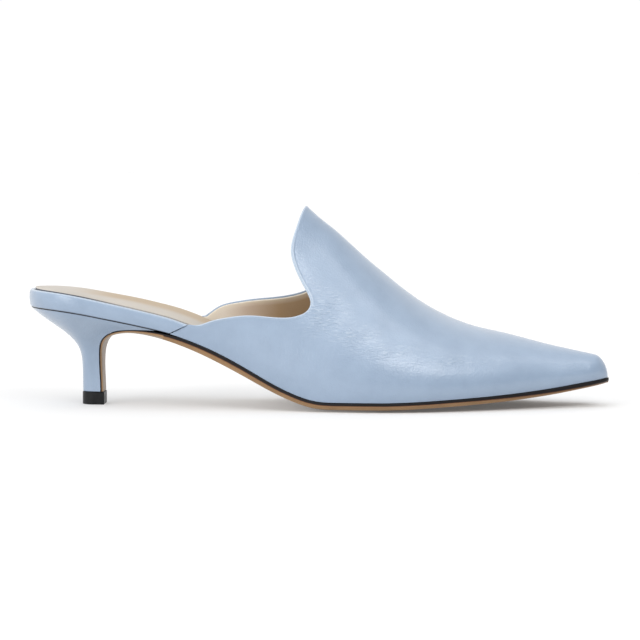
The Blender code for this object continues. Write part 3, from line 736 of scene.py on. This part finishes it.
def buildUpper():
    radius = upperPiece["foldRadius"]
    end = lastLength
    strips = {side: toplineStrips(side) for side in (outer, inner)}
    sides = np.concatenate([[outer] * len(strips[outer][0]), [inner] * (len(strips[inner][0]) - 1)])
    stations = np.concatenate([strips[outer][0][::-1], strips[inner][0][1:]])
    shares = np.concatenate([strips[outer][1][::-1], strips[inner][1][1:]])
    start = sectionPoint(sides, stations, shares)
    along = sectionPoint(sides, stations + 0.2 * mm, shares) - start
    along /= np.linalg.norm(along, axis=1, keepdims=True)
    edgeRun = np.gradient(start, axis=0)
    edgeRun /= np.linalg.norm(edgeRun, axis=1, keepdims=True)
    across = np.linalg.norm(np.cross(along, edgeRun), axis=1)
    stretch = 1 / np.maximum(across, 0.34)
    kernel = np.ones(9) / 9
    stretch = np.convolve(np.pad(stretch, 4, mode="edge"), kernel, mode="valid")

    roll = np.radians(np.linspace(90, 0, 8))
    rollOut = radius * (1 - np.sin(roll))
    nearEdge = np.array([0.7, 0.9, 1.1, 1.3, 1.5, 1.7, 1.9, 2.1, 2.3, 2.5, 2.8, 3.1, 3.5, 4.0]) * mm
    beyond = np.arange(4.6, 16.1, 0.6) * mm
    fine = np.concatenate([rollOut, nearEdge, beyond])
    toeZone = upperPiece["toeZone"]
    closing = toeZone * (1 - np.cos(np.linspace(np.pi / 2, 0, 26)))
    body = np.linspace(0, 1, 92)[1:-1]

    def rowStations(distances, bodySteps, closingRows):
        first = stations[:, None] + distances[None] * stretch[:, None]
        last = first[:, -1:]
        middle = last + (end - toeZone - last) * bodySteps[None]
        toe = np.broadcast_to(end - closingRows[None, :-1], (len(stations), len(closingRows) - 1))
        return np.concatenate([first, middle, toe], axis=1)

    def skinAt(xs):
        grid = [np.broadcast_to(values[:, None], xs.shape) for values in (sides, shares)]
        return *grid, sectionPoint(grid[0], xs, grid[1]), sectionNormal(grid[0], xs, grid[1])

    xs = rowStations(fine, body, closing)
    sideGrid, shareGrid, skin, normals = skinAt(xs)
    depth = np.zeros(xs.shape)
    depth[:, : len(roll)] = -radius * (1 - np.cos(roll))[None]

    topline = np.concatenate([strip[2] for strip in strips.values()])
    edges = kdtree.KDTree(len(topline))
    for i, point in enumerate(topline):
        edges.insert(Vector(point), i)
    edges.balance()
    toEdge = np.full(xs.shape, 20 * mm)
    for i in range(xs.shape[0]):
        for j in range(len(fine)):
            toEdge[i, j] = edges.find(Vector(skin[i, j]))[2]
    joint = smoothStep(stations, lastShape["jointTop"], lastShape["jointTop"] + 6 * mm)[:, None]
    place, high, wide = upperPiece["ridge"]
    up = skin[..., 2]
    upright = smoothStep(up, *upperPiece["sewn"][:2]) * (1 - smoothStep(up, *upperPiece["sewn"][2:]))
    sewn = (0.15 + 0.85 * upright) * joint
    ridge = np.exp(-(((toEdge - place) / wide) ** 2)) * sewn
    place, low, narrow = upperPiece["groove"]
    groove = np.exp(-(((toEdge - place) / narrow) ** 2)) * sewn
    size, swell = upperPiece["wave"]
    quiet = smoothStep(toEdge, 1 * mm, 10 * mm) * smoothStep(end - xs, 4 * mm, 30 * mm)
    quiet = quiet * smoothStep(1 - shareGrid, 0.0, 0.15)
    depth += ridge * high - groove * low
    depth += waves(skin, size, 1.0) * swell * quiet
    size, swell = upperPiece["ripple"]
    depth += waves(skin, size, 2.0) * swell * quiet
    creases = creaseDepths(sideGrid, skin)
    depth += creases
    face = skin + normals * depth[..., None]

    rollIn = np.radians(np.linspace(90, 180, 7))[1:]
    edgeOut = radius * (1 - np.sin(rollIn))
    rimDepth = radius * (1 - np.cos(rollIn))
    foldEnd = upperPiece["foldWidth"]
    wall = upperPiece["wall"]
    lip = [foldEnd, foldEnd, foldEnd + 0.1 * mm, foldEnd + 0.5 * mm, 3.0 * mm]
    inFine = np.concatenate([edgeOut, lip])
    lipDepth = [2 * radius, wall - 0.12 * mm, wall, wall, wall]
    inDepth = np.concatenate([rimDepth, lipDepth])
    inXs = rowStations(inFine, np.linspace(0, 1, 46)[1:-1], closing[::3])
    inDepths = np.concatenate([inDepth, np.full(inXs.shape[1] - len(inDepth), wall)])
    skive = np.clip((end - inXs) / upperPiece["skive"], upperPiece["skiveLeft"], 1)
    inSkin, inNormals = skinAt(inXs)[2:]
    inFace = inSkin - inNormals * (inDepths[None] * skive)[..., None]

    stripCount, rowCount = xs.shape
    inRows = inXs.shape[1]
    tip = sectionPoint(outer, end, 1.0)
    inTip = tip - np.array([wall * upperPiece["skiveLeft"], 0, 0])
    points = np.concatenate([face.reshape(-1, 3), inFace.reshape(-1, 3), [tip, inTip]])
    base = stripCount * rowCount
    tipAt, inTipAt = len(points) - 2, len(points) - 1
    faces = gridFaces(stripCount, rowCount, flip=True)
    inGrid = gridFaces(stripCount, inRows, start=base)
    lastFolded = len(edgeOut)
    kinds = [0] * len(faces)
    faces += inGrid
    kinds += [0 if (k % (inRows - 1)) < lastFolded else 1 for k in range(len(inGrid))]
    for i in range(stripCount - 1):
        a, b = i * rowCount, (i + 1) * rowCount
        c, d = base + i * inRows, base + (i + 1) * inRows
        faces += [(a, b, d, c), (a + rowCount - 1, tipAt, b + rowCount - 1)]
        faces += [(c + inRows - 1, d + inRows - 1, inTipAt)]
        kinds += [0, 0, 1]
    for i, flip in ((0, False), (stripCount - 1, True)):
        first = list(range(i * rowCount, (i + 1) * rowCount)) + [tipAt]
        second = list(range(base + i * inRows, base + (i + 1) * inRows)) + [inTipAt]
        foot = zipFaces(first, second, points, flip)
        faces += foot
        kinds += [0] * len(foot)

    # Painted highlight along the fold's ridge and at the topline's edge, painted shade in the groove
    # and in the creases, a darker tone toward the feather line, and where the crinkle bump and painted
    # glints go
    rim = 1 - smoothStep(toEdge, 0.3 * mm, 0.6 * mm)
    darkerByFeatherLine = smoothStep(shareGrid, 0.93, 1.0) * 0.15
    creaseShade = np.clip(-creases / (0.3 * mm), 0, 1) * 0.2
    marks = {
        "fold": np.maximum(ridge * 0.6, rim * 0.5 * joint),
        "dip": np.clip(groove * 0.35 + darkerByFeatherLine + creaseShade, 0, 1),
        "crinkle": crinkleAndGlintZone(skin),
    }
    values = {mark: np.pad(grid.ravel(), (0, inXs.size + 2)) for mark, grid in marks.items()}
    cut = np.zeros(inXs.shape)
    cut[:, lastFolded : lastFolded + 4] = [1.0, 1.0, 1.0, 0.5]
    values["cutEdge"] = np.pad(cut.ravel(), (base, 2))
    piece = addPiece("upperLeather", points, faces, [calf, lining], kinds, values, sharp=60)
    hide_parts("upper")


buildUpper()


def buildRand():
    # The strip of calf around the heel seat, rolled over at its top
    profile = np.array(randPiece["profile"])
    at = np.arange(len(profile))
    bent = np.linspace(0, 13, randPiece["around"])
    curve = np.stack([naturalSpline(at[:14], profile[:14, i])(bent) for i in (0, 1)], -1)
    profile = np.concatenate([curve, profile[14:]])
    turns = np.linspace(-1, 1, randPiece["stations"] + 1)
    rings = []
    for turn in turns:
        side = outer if turn < 0 else inner
        reach = lastShape["jointFoot"]
        reach = reach + (lastShape["jointTop"] - reach) * profile[:, 1] - randPiece["seam"]
        xs = reach * (1 - math.cos(abs(turn) * math.pi / 2))
        spots = edgePoint(side, shareAt(xs), profile[:, 0] * randPiece["wall"])
        if turn == 0:
            centre = np.full(len(profile), middleLine(0.0))
            spots = np.stack([-profile[:, 0] * randPiece["wall"], centre], -1)
        ups = bottomLine(xs) + lastShape["gap"] + profile[:, 1] * randHeight(xs)
        rings.append(np.concatenate([spots, ups[:, None]], axis=1))
    rings = np.array(rings)
    columns = rings.shape[1]
    faces = gridFaces(len(rings), columns, closed=True)
    faces += [tuple(range(columns))[::-1], tuple((len(rings) - 1) * columns + np.arange(columns))]
    faces = [tuple(int(i) for i in face) for face in faces]
    # Painted highlight along the rolled top, and painted shade at the bottom by the gap to the heel
    seam = randPiece["seamShare"]
    middle, spread, strength = randPiece["paintedTopHighlight"]
    top = np.exp(-(((profile[:, 1] - middle) / spread) ** 2)) * strength
    marks = {"fold": top, "seam": smoothStep(seam - profile[:, 1], 0, seam)}
    values = {mark: np.broadcast_to(row, rings.shape[:2]) for mark, row in marks.items()}
    piece = addPiece("randStrip", rings, faces, [calf], values=values)
    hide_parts("rand")


buildRand()

# Heel block: back rise, back out, breast rise, breast out, spread at each level
heelRows = [
    (0.000, 0.000, 0.000, 0.000, 0.000), (0.122, 0.003, 0.159, -0.004, 0.000),
    (0.253, 0.006, 0.328, -0.012, 0.015), (0.396, 0.022, 0.513, -0.014, 0.060),
    (0.526, 0.085, 0.682, 0.000, 0.160), (0.643, 0.235, 0.815, 0.052, 0.330),
    (0.753, 0.457, 0.922, 0.180, 0.550), (0.852, 0.696, 0.988, 0.400, 0.745),
    (0.935, 0.878, 1.003, 0.740, 0.910), (1.000, 1.000, 1.000, 1.000, 1.000),
]

heelPiece = {
    "stemBack": 23.6 * mm,
    "stemDepth": 8.6 * mm,
    "stemWidth": 10.6 * mm,
    "breast": 60 * mm,
    "inset": 0.4 * mm,
    "topPieceHeight": 5.8 * mm,
    "topPieceLip": 0.2 * mm,
    "topPieceBevel": 0.4 * mm,
    # A darker tone at the heel's foot, and the level from which painted shade of the gap under the rand
    # starts
    "footDip": (0.02, 0.4),
    "seamFrom": 0.985,
    "levels": 120,
    "sideSteps": 44,
}


def heelStem():
    front = heelPiece["stemBack"] + heelPiece["stemDepth"]
    foot = heelPiece["topPieceHeight"] + lastShape["gap"]
    return front, foot


def buildHeel():
    order = np.arange(len(heelRows))
    curves = [naturalSpline(order, values) for values in zip(*heelRows)]
    front, foot = heelStem()
    seatBack = heelPiece["inset"]
    breast = heelPiece["breast"]
    along = 1 - np.cos(np.pi / 2 * np.linspace(0, 1, heelPiece["sideSteps"] + 1))
    seatXs = seatBack + (breast - seatBack) * along
    half = heelPiece["stemWidth"] / 2
    stemHalf = half * roundedEnd(along, half / heelPiece["stemDepth"])
    seatHalf = np.maximum(halfWidth(seatXs) - heelPiece["inset"], 0)
    seatHalf[0] = 0
    chord = bottomLine(seatBack) + (bottomLine(breast) - bottomLine(seatBack)) * along
    rings = []
    for at in np.linspace(0, order[-1], heelPiece["levels"]):
        backRise, backOut, breastRise, breastOut, spread = (float(curve(at)) for curve in curves)
        back = heelPiece["stemBack"] + (seatBack - heelPiece["stemBack"]) * backOut
        ahead = front + (breast - front) * breastOut
        backHeight = foot + (float(bottomLine(seatBack)) - foot) * backRise
        frontHeight = foot + (float(bottomLine(breast)) - foot) * breastRise
        width = stemHalf + (seatHalf - stemHalf) * spread
        height = backHeight + (frontHeight - backHeight) * along
        height = height + (bottomLine(seatXs) - chord) * spread**2
        xs = back + (ahead - back) * along
        rings.append(mirroredRing(xs, middleLine(seatXs), width, height))
    rings = np.array(rings)
    columns = rings.shape[1]
    level = np.linspace(0, 1, len(rings))[:, None] * np.ones((1, columns))
    share, strength = heelPiece["footDip"]
    # Painted shade at the top, in the gap under the rand, and a darker tone at the foot
    seamShade = smoothStep(level, heelPiece["seamFrom"], 1.0)
    values = {"seam": seamShade, "dip": smoothStep(share - level, 0, share) * strength}
    piece = addPiece("heelCover", rings, loftFaces(len(rings), columns), [calf], values=values)
    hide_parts("heel")


buildHeel()

# Outsole: leather sole with an inked edge and a bare bevel, and its flap down the breast
solePiece = {
    "margin": 0.5 * mm,
    "bevel": 1.4 * mm,
    "rounding": (0.12 * mm, 0.04 * mm),
    "crownRun": 0.3,
    "underStart": 1.06,
    "underSteps": 9,
    "flap": 1.2 * mm,
    "flapStart": 8.5 * mm,
    "flapLead": (22 * mm, 14 * mm, 7 * mm),
    "stations": 300,
    "flapStations": 130,
    "tipShare": 0.006,
    "inkedToe": (0.70, 1.0),
    "bandShare": 0.8,
    "breastFrom": 20,  # the flap's ring from which the breast's share of ink holds
    "inkShares": (0.88, 0.46, 1.5),  # along the edge, at the toe, and down the heel breast
}


def buildTopPiece():
    # The wearing cap under the stem, which reaches on under the sole's flap
    depth = heelPiece["stemDepth"] + lastShape["gap"] + solePiece["flap"]
    half = heelPiece["stemWidth"] / 2 + heelPiece["topPieceLip"]
    bevel = heelPiece["topPieceBevel"]
    height = heelPiece["topPieceHeight"]
    corner = np.radians(np.linspace(90, 0, 6))
    levels = [(bevel * (1 - math.sin(a)), bevel * (1 - math.cos(a))) for a in corner]
    levels += [(z, 0.0) for z in np.linspace(bevel, height - bevel / 2, 8)[1:]]
    levels += [(height, bevel / 2)]
    centre = float(middleLine(heelPiece["stemBack"]))
    along = 1 - np.cos(np.pi / 2 * np.linspace(0, 1, heelPiece["sideSteps"] + 1))
    rings = []
    for z, inset in levels:
        width = (half - inset) * roundedEnd(along, half / depth)
        xs = heelPiece["stemBack"] - heelPiece["topPieceLip"] + inset
        xs = xs + (depth + 2 * (heelPiece["topPieceLip"] - inset)) * along
        rings.append(mirroredRing(xs, centre, width, z))
    rings = np.array(rings)
    piece = addPiece("topPiece", rings, loftFaces(len(rings), rings.shape[1]), [rubber])
    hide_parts("top_piece")


buildTopPiece()

# Sole edge from the upper face down and around the bevel: shares of the edge and of the bevel
soleRows = [
    (0.000, 0.00), (0.030, 0.00), (0.080, 0.00), (0.200, 0.00), (0.340, 0.00), (0.460, 0.00),
    (0.515, 0.03), (0.565, 0.12), (0.705, 0.40), (0.855, 0.70), (0.965, 0.92),
]


def soleProfile(edge, crown, bevel, half):
    # Insets and drops down that edge, and on under the crown
    down, inward = np.array(soleRows).T
    insets = inward * bevel
    insets[:2] = solePiece["rounding"]
    start = solePiece["underStart"] * bevel
    run = bevel + solePiece["crownRun"] * half
    under = np.linspace(0, 1, solePiece["underSteps"])
    insets = np.concatenate([insets, start + (run - start) * under])
    return insets, np.concatenate([down * edge, edge + crown * smoothStep(under, 0, 1)])


# Paint for each point of that profile: the edge takes the first 0.8, and the underside the rest
soleBands = np.array(soleRows)[:, 0] * solePiece["bandShare"]
soleBands = np.concatenate([soleBands, [0.85], np.ones(solePiece["underSteps"] - 1)])


def breastLine():
    front, foot = heelStem()
    breast = heelPiece["breast"]
    seat = float(bottomLine(breast))
    spreadTo = float(halfWidth(breast)) - heelPiece["inset"]
    half = heelPiece["stemWidth"] / 2
    start, end = np.array([front, foot, half]), np.array([breast, seat, spreadTo])
    return [tuple(start + (end - start) * np.array(row)[[3, 2, 4]]) for row in heelRows]


def soleRing(share):
    halves = []
    for side in (outer, inner):
        station = float(edgePoint(side, share, 0.0)[0])
        edge = float(soleEdgeHeight(station))
        half = float(halfWidth(station))
        crown = float(soleCrownHeight(station))
        bevel = min(solePiece["bevel"], 0.8 * half + 0.2 * mm)
        insets, drops = soleProfile(edge, crown, bevel, half)
        spots = edgePoint(side, np.full(len(insets), share), solePiece["margin"] - insets)
        ahead, up = bottomNormal(spots[:, 0])
        xs = spots[:, 0] + ahead * drops
        zs = bottomLine(spots[:, 0]) + up * drops
        halves.append(np.stack([xs, spots[:, 1], zs], -1))
    return np.concatenate([halves[0], halves[1][::-1]])


def flapRings():
    lead = [lastShape["jointFoot"] + step for step in solePiece["flapLead"]]
    path = [(x, float(bottomLine(x)), float(halfWidth(x)) + solePiece["margin"]) for x in lead]
    path = np.array(path + breastLine()[-2::-1])
    run = np.concatenate([[0], np.cumsum(np.hypot(*np.diff(path[:, :2], axis=0).T))])
    curves = [naturalSpline(run, path[:, i]) for i in range(3)]
    probe = 0.2 * mm
    rings = []
    for s in np.linspace(run[2], run[-1], solePiece["flapStations"]):
        x, z, half = (float(curve(s)) for curve in curves)
        ahead = float(curves[0](s + probe) - curves[0](s - probe))
        rise = float(curves[1](s + probe) - curves[1](s - probe))
        length = math.hypot(ahead, rise)
        out = (-rise / length, ahead / length)
        fade = float(smoothStep(s, run[2], run[4]))
        lift = lastShape["gap"] * float(smoothStep(s, run[2], run[3]))
        x += out[0] * lift
        z += out[1] * lift
        edge = float(soleEdgeHeight(x))
        edge += (solePiece["flap"] - edge) * fade
        bevel = solePiece["bevel"] + (solePiece["flap"] / 2 - solePiece["bevel"]) * fade
        insets, drops = soleProfile(edge, 0.0, bevel, half)
        centre = float(middleLine(max(x, heelPiece["stemBack"])))
        xs, zs = x + out[0] * drops, z + out[1] * drops
        ys = [centre + side * (half - insets) for side in (outer, inner)]
        left, right = (np.stack([xs, y, zs], -1) for y in ys)
        rings.append(np.concatenate([left, right[::-1]]))
    return rings


def buildOutsole():
    start = float(shareAt(lastShape["jointFoot"] + solePiece["flapStart"]))
    shares = np.linspace(1 - solePiece["tipShare"], start, solePiece["stations"])
    rings = np.array([soleRing(share) for share in shares] + flapRings())
    columns = rings.shape[1]
    below = np.concatenate([soleBands, soleBands[::-1]])
    toTip = smoothStep(rings[:, :, 0] / lastLength, *solePiece["inkedToe"])
    along, tip, breast = solePiece["inkShares"]
    inked = along + (tip - along) * toTip
    inked[len(shares) + solePiece["breastFrom"] :] = breast
    below = np.where(below < solePiece["bandShare"], below * inked, below)
    faces = loftFaces(len(rings), columns, flip=True)
    values = {"belowInk": below}
    piece = addPiece("leatherSole", rings, faces, [soleLeather], values=values, sharp=50)
    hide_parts("outsole")


buildOutsole()

# Sock: the leather that the foot stands on
sockPiece = {
    "inset": 2.1 * mm,
    "thickness": 1.2 * mm,
    "drop": 0.2 * mm,
    "proud": 0.6 * mm,
    "pad": (0.6 * mm, 1.9 * mm),
    "padRise": (0.06, 0.20),
    "padFade": (0.28, 0.42),
    "forepart": 2.4 * mm,
    "toeGap": 7 * mm,
    "stations": 260,
    "across": 40,
    "roll": 0.35 * mm,
    "boardFall": (0.28, 0.50),
    # Where the painted shade of the inner side lies, across and along, and where the seam's painted
    # shade fades
    "tanAcross": (0.18, 0.42),
    "tanFrom": (14 * mm, 42 * mm),
    "seamFade": (22 * mm, 50 * mm),
}


def boardTop(x):
    forepart = smoothStep(x / lastLength, *sockPiece["boardFall"])
    seat = randHeight(x) - sockPiece["drop"] - sockPiece["thickness"] - lastShape["gap"]
    return lastShape["gap"] + seat + (sockPiece["forepart"] - seat) * forepart


def buildSock():
    toeEnd = float(shareAt(lastLength - sockPiece["toeGap"]))
    roll = sockPiece["roll"]
    quarter = np.linspace(0, np.pi / 2, 5)[:-1]
    fall = roll * (1 - np.sin(quarter))
    rings = []
    for share in np.linspace(0.006, toeEnd, sockPiece["stations"]):
        ends = [edgePoint(side, share, -sockPiece["inset"]) for side in (outer, inner)]
        width = float(np.linalg.norm(ends[1] - ends[0]))
        bevel = min(roll, width / 6) / width
        inside = np.linspace(bevel, 1 - bevel, sockPiece["across"])
        corner = bevel * (1 - np.cos(quarter))
        parts = np.concatenate([corner, inside, 1 - corner[::-1]])
        drop = np.concatenate([fall, np.zeros(len(inside)), fall[::-1]])
        spots = ends[0] + (ends[1] - ends[0]) * parts[:, None]
        xs = spots[:, 0]
        station = xs / lastLength
        low, high = sockPiece["pad"]
        pad = low + (high - low) * smoothStep(station, *sockPiece["padRise"])
        fade = 1 - smoothStep(station, *sockPiece["padFade"])
        swell = pad * fade * (1 - (2 * parts - 1) ** 4)
        base = bottomLine(xs) + boardTop(xs) + lastShape["gap"]
        tops = base + sockPiece["thickness"] + sockPiece["proud"] * fade + swell - drop
        top = np.concatenate([spots, tops[:, None]], axis=1)
        under = np.concatenate([spots, base[:, None]], axis=1)
        rings.append(np.concatenate([under, top[::-1]]))
    rings = np.array(rings)
    columns = rings.shape[1]
    half = columns // 2
    parts = np.linspace(0, 1, half)
    # Painted shade: the inner side turns tan, from the seat forward
    rim = smoothStep(parts, *sockPiece["tanAcross"])
    rim = np.concatenate([rim, rim[::-1]]) * smoothStep(rings[:, :, 0], *sockPiece["tanFrom"])
    # Painted shade along the crack by the rand, fainter toward the front
    seamShade = np.ones(half)
    seamShade[4:-4] = 0
    seamShadeFade = 1 - 0.6 * smoothStep(rings[:, :, 0], *sockPiece["seamFade"])
    seamShade = np.concatenate([seamShade, seamShade[::-1]]) * seamShadeFade
    seamShade[0] = 1
    faces = loftFaces(len(rings), columns, flip=True)
    values = {"innerRim": rim, "seam": seamShade}
    piece = addPiece("sockLeather", rings, faces, [sockLeather], values=values)
    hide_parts("sock")


buildSock()

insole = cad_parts["insole"]
insole.data.materials.clear()
insole.data.materials.append(board)
print("Pieces ready")

# Stage: a pale floor, painted darker around the shoe and glowing to lighten its shadows, in a light
# tent, with a wide light overhead and three boxes
stagePlace = {
    "floorSize": 8.0,
    # Painted shadow: the floor is darker around the shoe, more in front of it
    "floorPaintedShadeColours": ("#E2E2E2", "#FAFAFA"),  # around the shoe, and far off
    "floorMiddle": (0.0, -0.07, 0.0),
    "floorFade": (0.12, 0.5),
    # Floor glow that lightens the shadows
    "floorGlow": (0.30, 0.08),  # under the heel, and under the toe
    "glowEnds": (-0.03, 0.03),
    "tent": (1.02, 0.2),  # behind the shoe, and where the tent is open at the front right
    "tentOpen": (0.83, -0.56, 0.0),
    "tentTurn": (-0.2, 0.9),
    "overhead": 0.92,
    "overheadTilt": 15,
    "overheadSpread": 70,
    "boxes": [
        # name, place, aim, size, roll in degrees, power in watts
        ("stripBox", (0.41, -0.88, 0.785), (0.03, -0.03, 0.03), (0.75, 0.34), 19, 5.4),
        ("toeBox", (0.62, -0.22, 1.06), (0.05, -0.02, 0.03), (0.34, 0.12), 10, 0.4),
        ("leftBox", (-1.00, -1.15, 0.55), (-0.05, 0.0, 0.03), (0.9, 0.9), 0, 7.0),
    ],
}


def buildStage():
    half = stagePlace["floorSize"] / 2
    mesh = bpy.data.meshes.new("floorSheet")
    corners = [(-half, -half, 0), (half, -half, 0), (half, half, 0), (-half, half, 0)]
    mesh.from_pydata(corners, [], [(0, 1, 2, 3)])
    floor = addObject("floorSheet", mesh)
    # Matt, near-white floor that glows, more under the heel than under the toe, so that shadows stay
    # pale; painted darker around the shoe as a broad shadow
    settings = {"Roughness": 0.95, "Specular IOR Level": 0.2, "Emission Color": (1, 1, 1, 1)}
    material, add, place = newMaterial("paleFloorWithPaintedShadeAndGlow", settings)
    near, far = (hexColour(code) for code in stagePlace["floorPaintedShadeColours"])
    away = add("VectorMath", {"operation": "DISTANCE", 0: place, 1: stagePlace["floorMiddle"]}, "Value")
    low, high = stagePlace["floorFade"]
    fading = add("MapRange", {"Value": away, "From Min": low, "From Max": high})
    tone = add("Mix", {"data_type": "RGBA", 0: fading, 6: near, 7: far}, 2)
    # Floor glow, stronger under the heel, to lighten the shadows
    along = add("SeparateXYZ", {"Vector": place}, "X")
    low, high = stagePlace["glowEnds"]
    settings = {"Value": along, "From Min": low, "From Max": high}
    settings["To Min"], settings["To Max"] = stagePlace["floorGlow"]
    glow = add("MapRange", settings)
    left = add("Math", {"operation": "SUBTRACT", 0: 1.0, 1: glow})
    toned = add("Mix", {"data_type": "RGBA", "blend_type": "MULTIPLY", 0: 1.0, 6: tone, 7: left}, 2)
    feedShader(material, {"Base Color": toned, "Emission Strength": glow})
    mesh.materials.append(material)

    world = bpy.data.worlds.new("lightTent")
    bpy.context.scene.world = world
    world.use_nodes = True
    background = world.node_tree.nodes["Background"]
    background.inputs["Color"].default_value = (1, 1, 1, 1)
    way = addNode(world, "TexCoord", output="Generated")
    settings = {"operation": "DOT_PRODUCT", 0: way, 1: stagePlace["tentOpen"]}
    facing = addNode(world, "VectorMath", settings, "Value")
    low, high = stagePlace["tentTurn"]
    settings = {"Value": facing, "From Min": low, "From Max": high}
    settings["To Min"], settings["To Max"] = stagePlace["tent"]
    strength = addNode(world, "MapRange", settings)
    world.node_tree.links.new(strength, background.inputs["Strength"])

    light = bpy.data.lights.new("overhead", "SUN")
    light.energy = stagePlace["overhead"]
    light.angle = math.radians(stagePlace["overheadSpread"])
    overhead = addObject("overhead", light)
    overhead.location = (0, 0, 2)
    overhead.rotation_euler = (math.radians(stagePlace["overheadTilt"]), 0, 0)
    for name, place, aim, size, roll, power in stagePlace["boxes"]:
        light = bpy.data.lights.new(name, "AREA")
        light.shape = "RECTANGLE"
        light.size, light.size_y = size
        light.energy = power
        box = addObject(name, light)
        box.location = place
        box.rotation_mode = "QUATERNION"
        turn = (Vector(aim) - Vector(place)).to_track_quat("-Z", "Y")
        box.rotation_quaternion = turn @ Quaternion((0, 0, 1), math.radians(roll))


buildStage()

# Camera at the photograph's angle to the shoe
cameraPlace = {
    "distance": 1.5,
    "azimuth": 3.0,
    "elevation": 4.1,
    "target": (0.0007, 0.0, 0.039),
    "lens": 183.8,
}


def buildCamera():
    azimuth = math.radians(cameraPlace["azimuth"])
    elevation = math.radians(cameraPlace["elevation"])
    level = math.cos(elevation)
    back = Vector((math.sin(azimuth) * level, -math.cos(azimuth) * level, math.sin(elevation)))
    data = bpy.data.cameras.new("camera")
    data.sensor_width = 36
    data.lens = cameraPlace["lens"]
    camera = addObject("camera", data)
    camera.location = Vector(cameraPlace["target"]) + back * cameraPlace["distance"]
    camera.rotation_mode = "QUATERNION"
    camera.rotation_quaternion = (-back).to_track_quat("-Z", "Y")
    bpy.context.scene.camera = camera


buildCamera()
bpy.context.scene.view_settings.view_transform = "Standard"
print("Stage, light and camera ready")

bpy.context.view_layer.update()
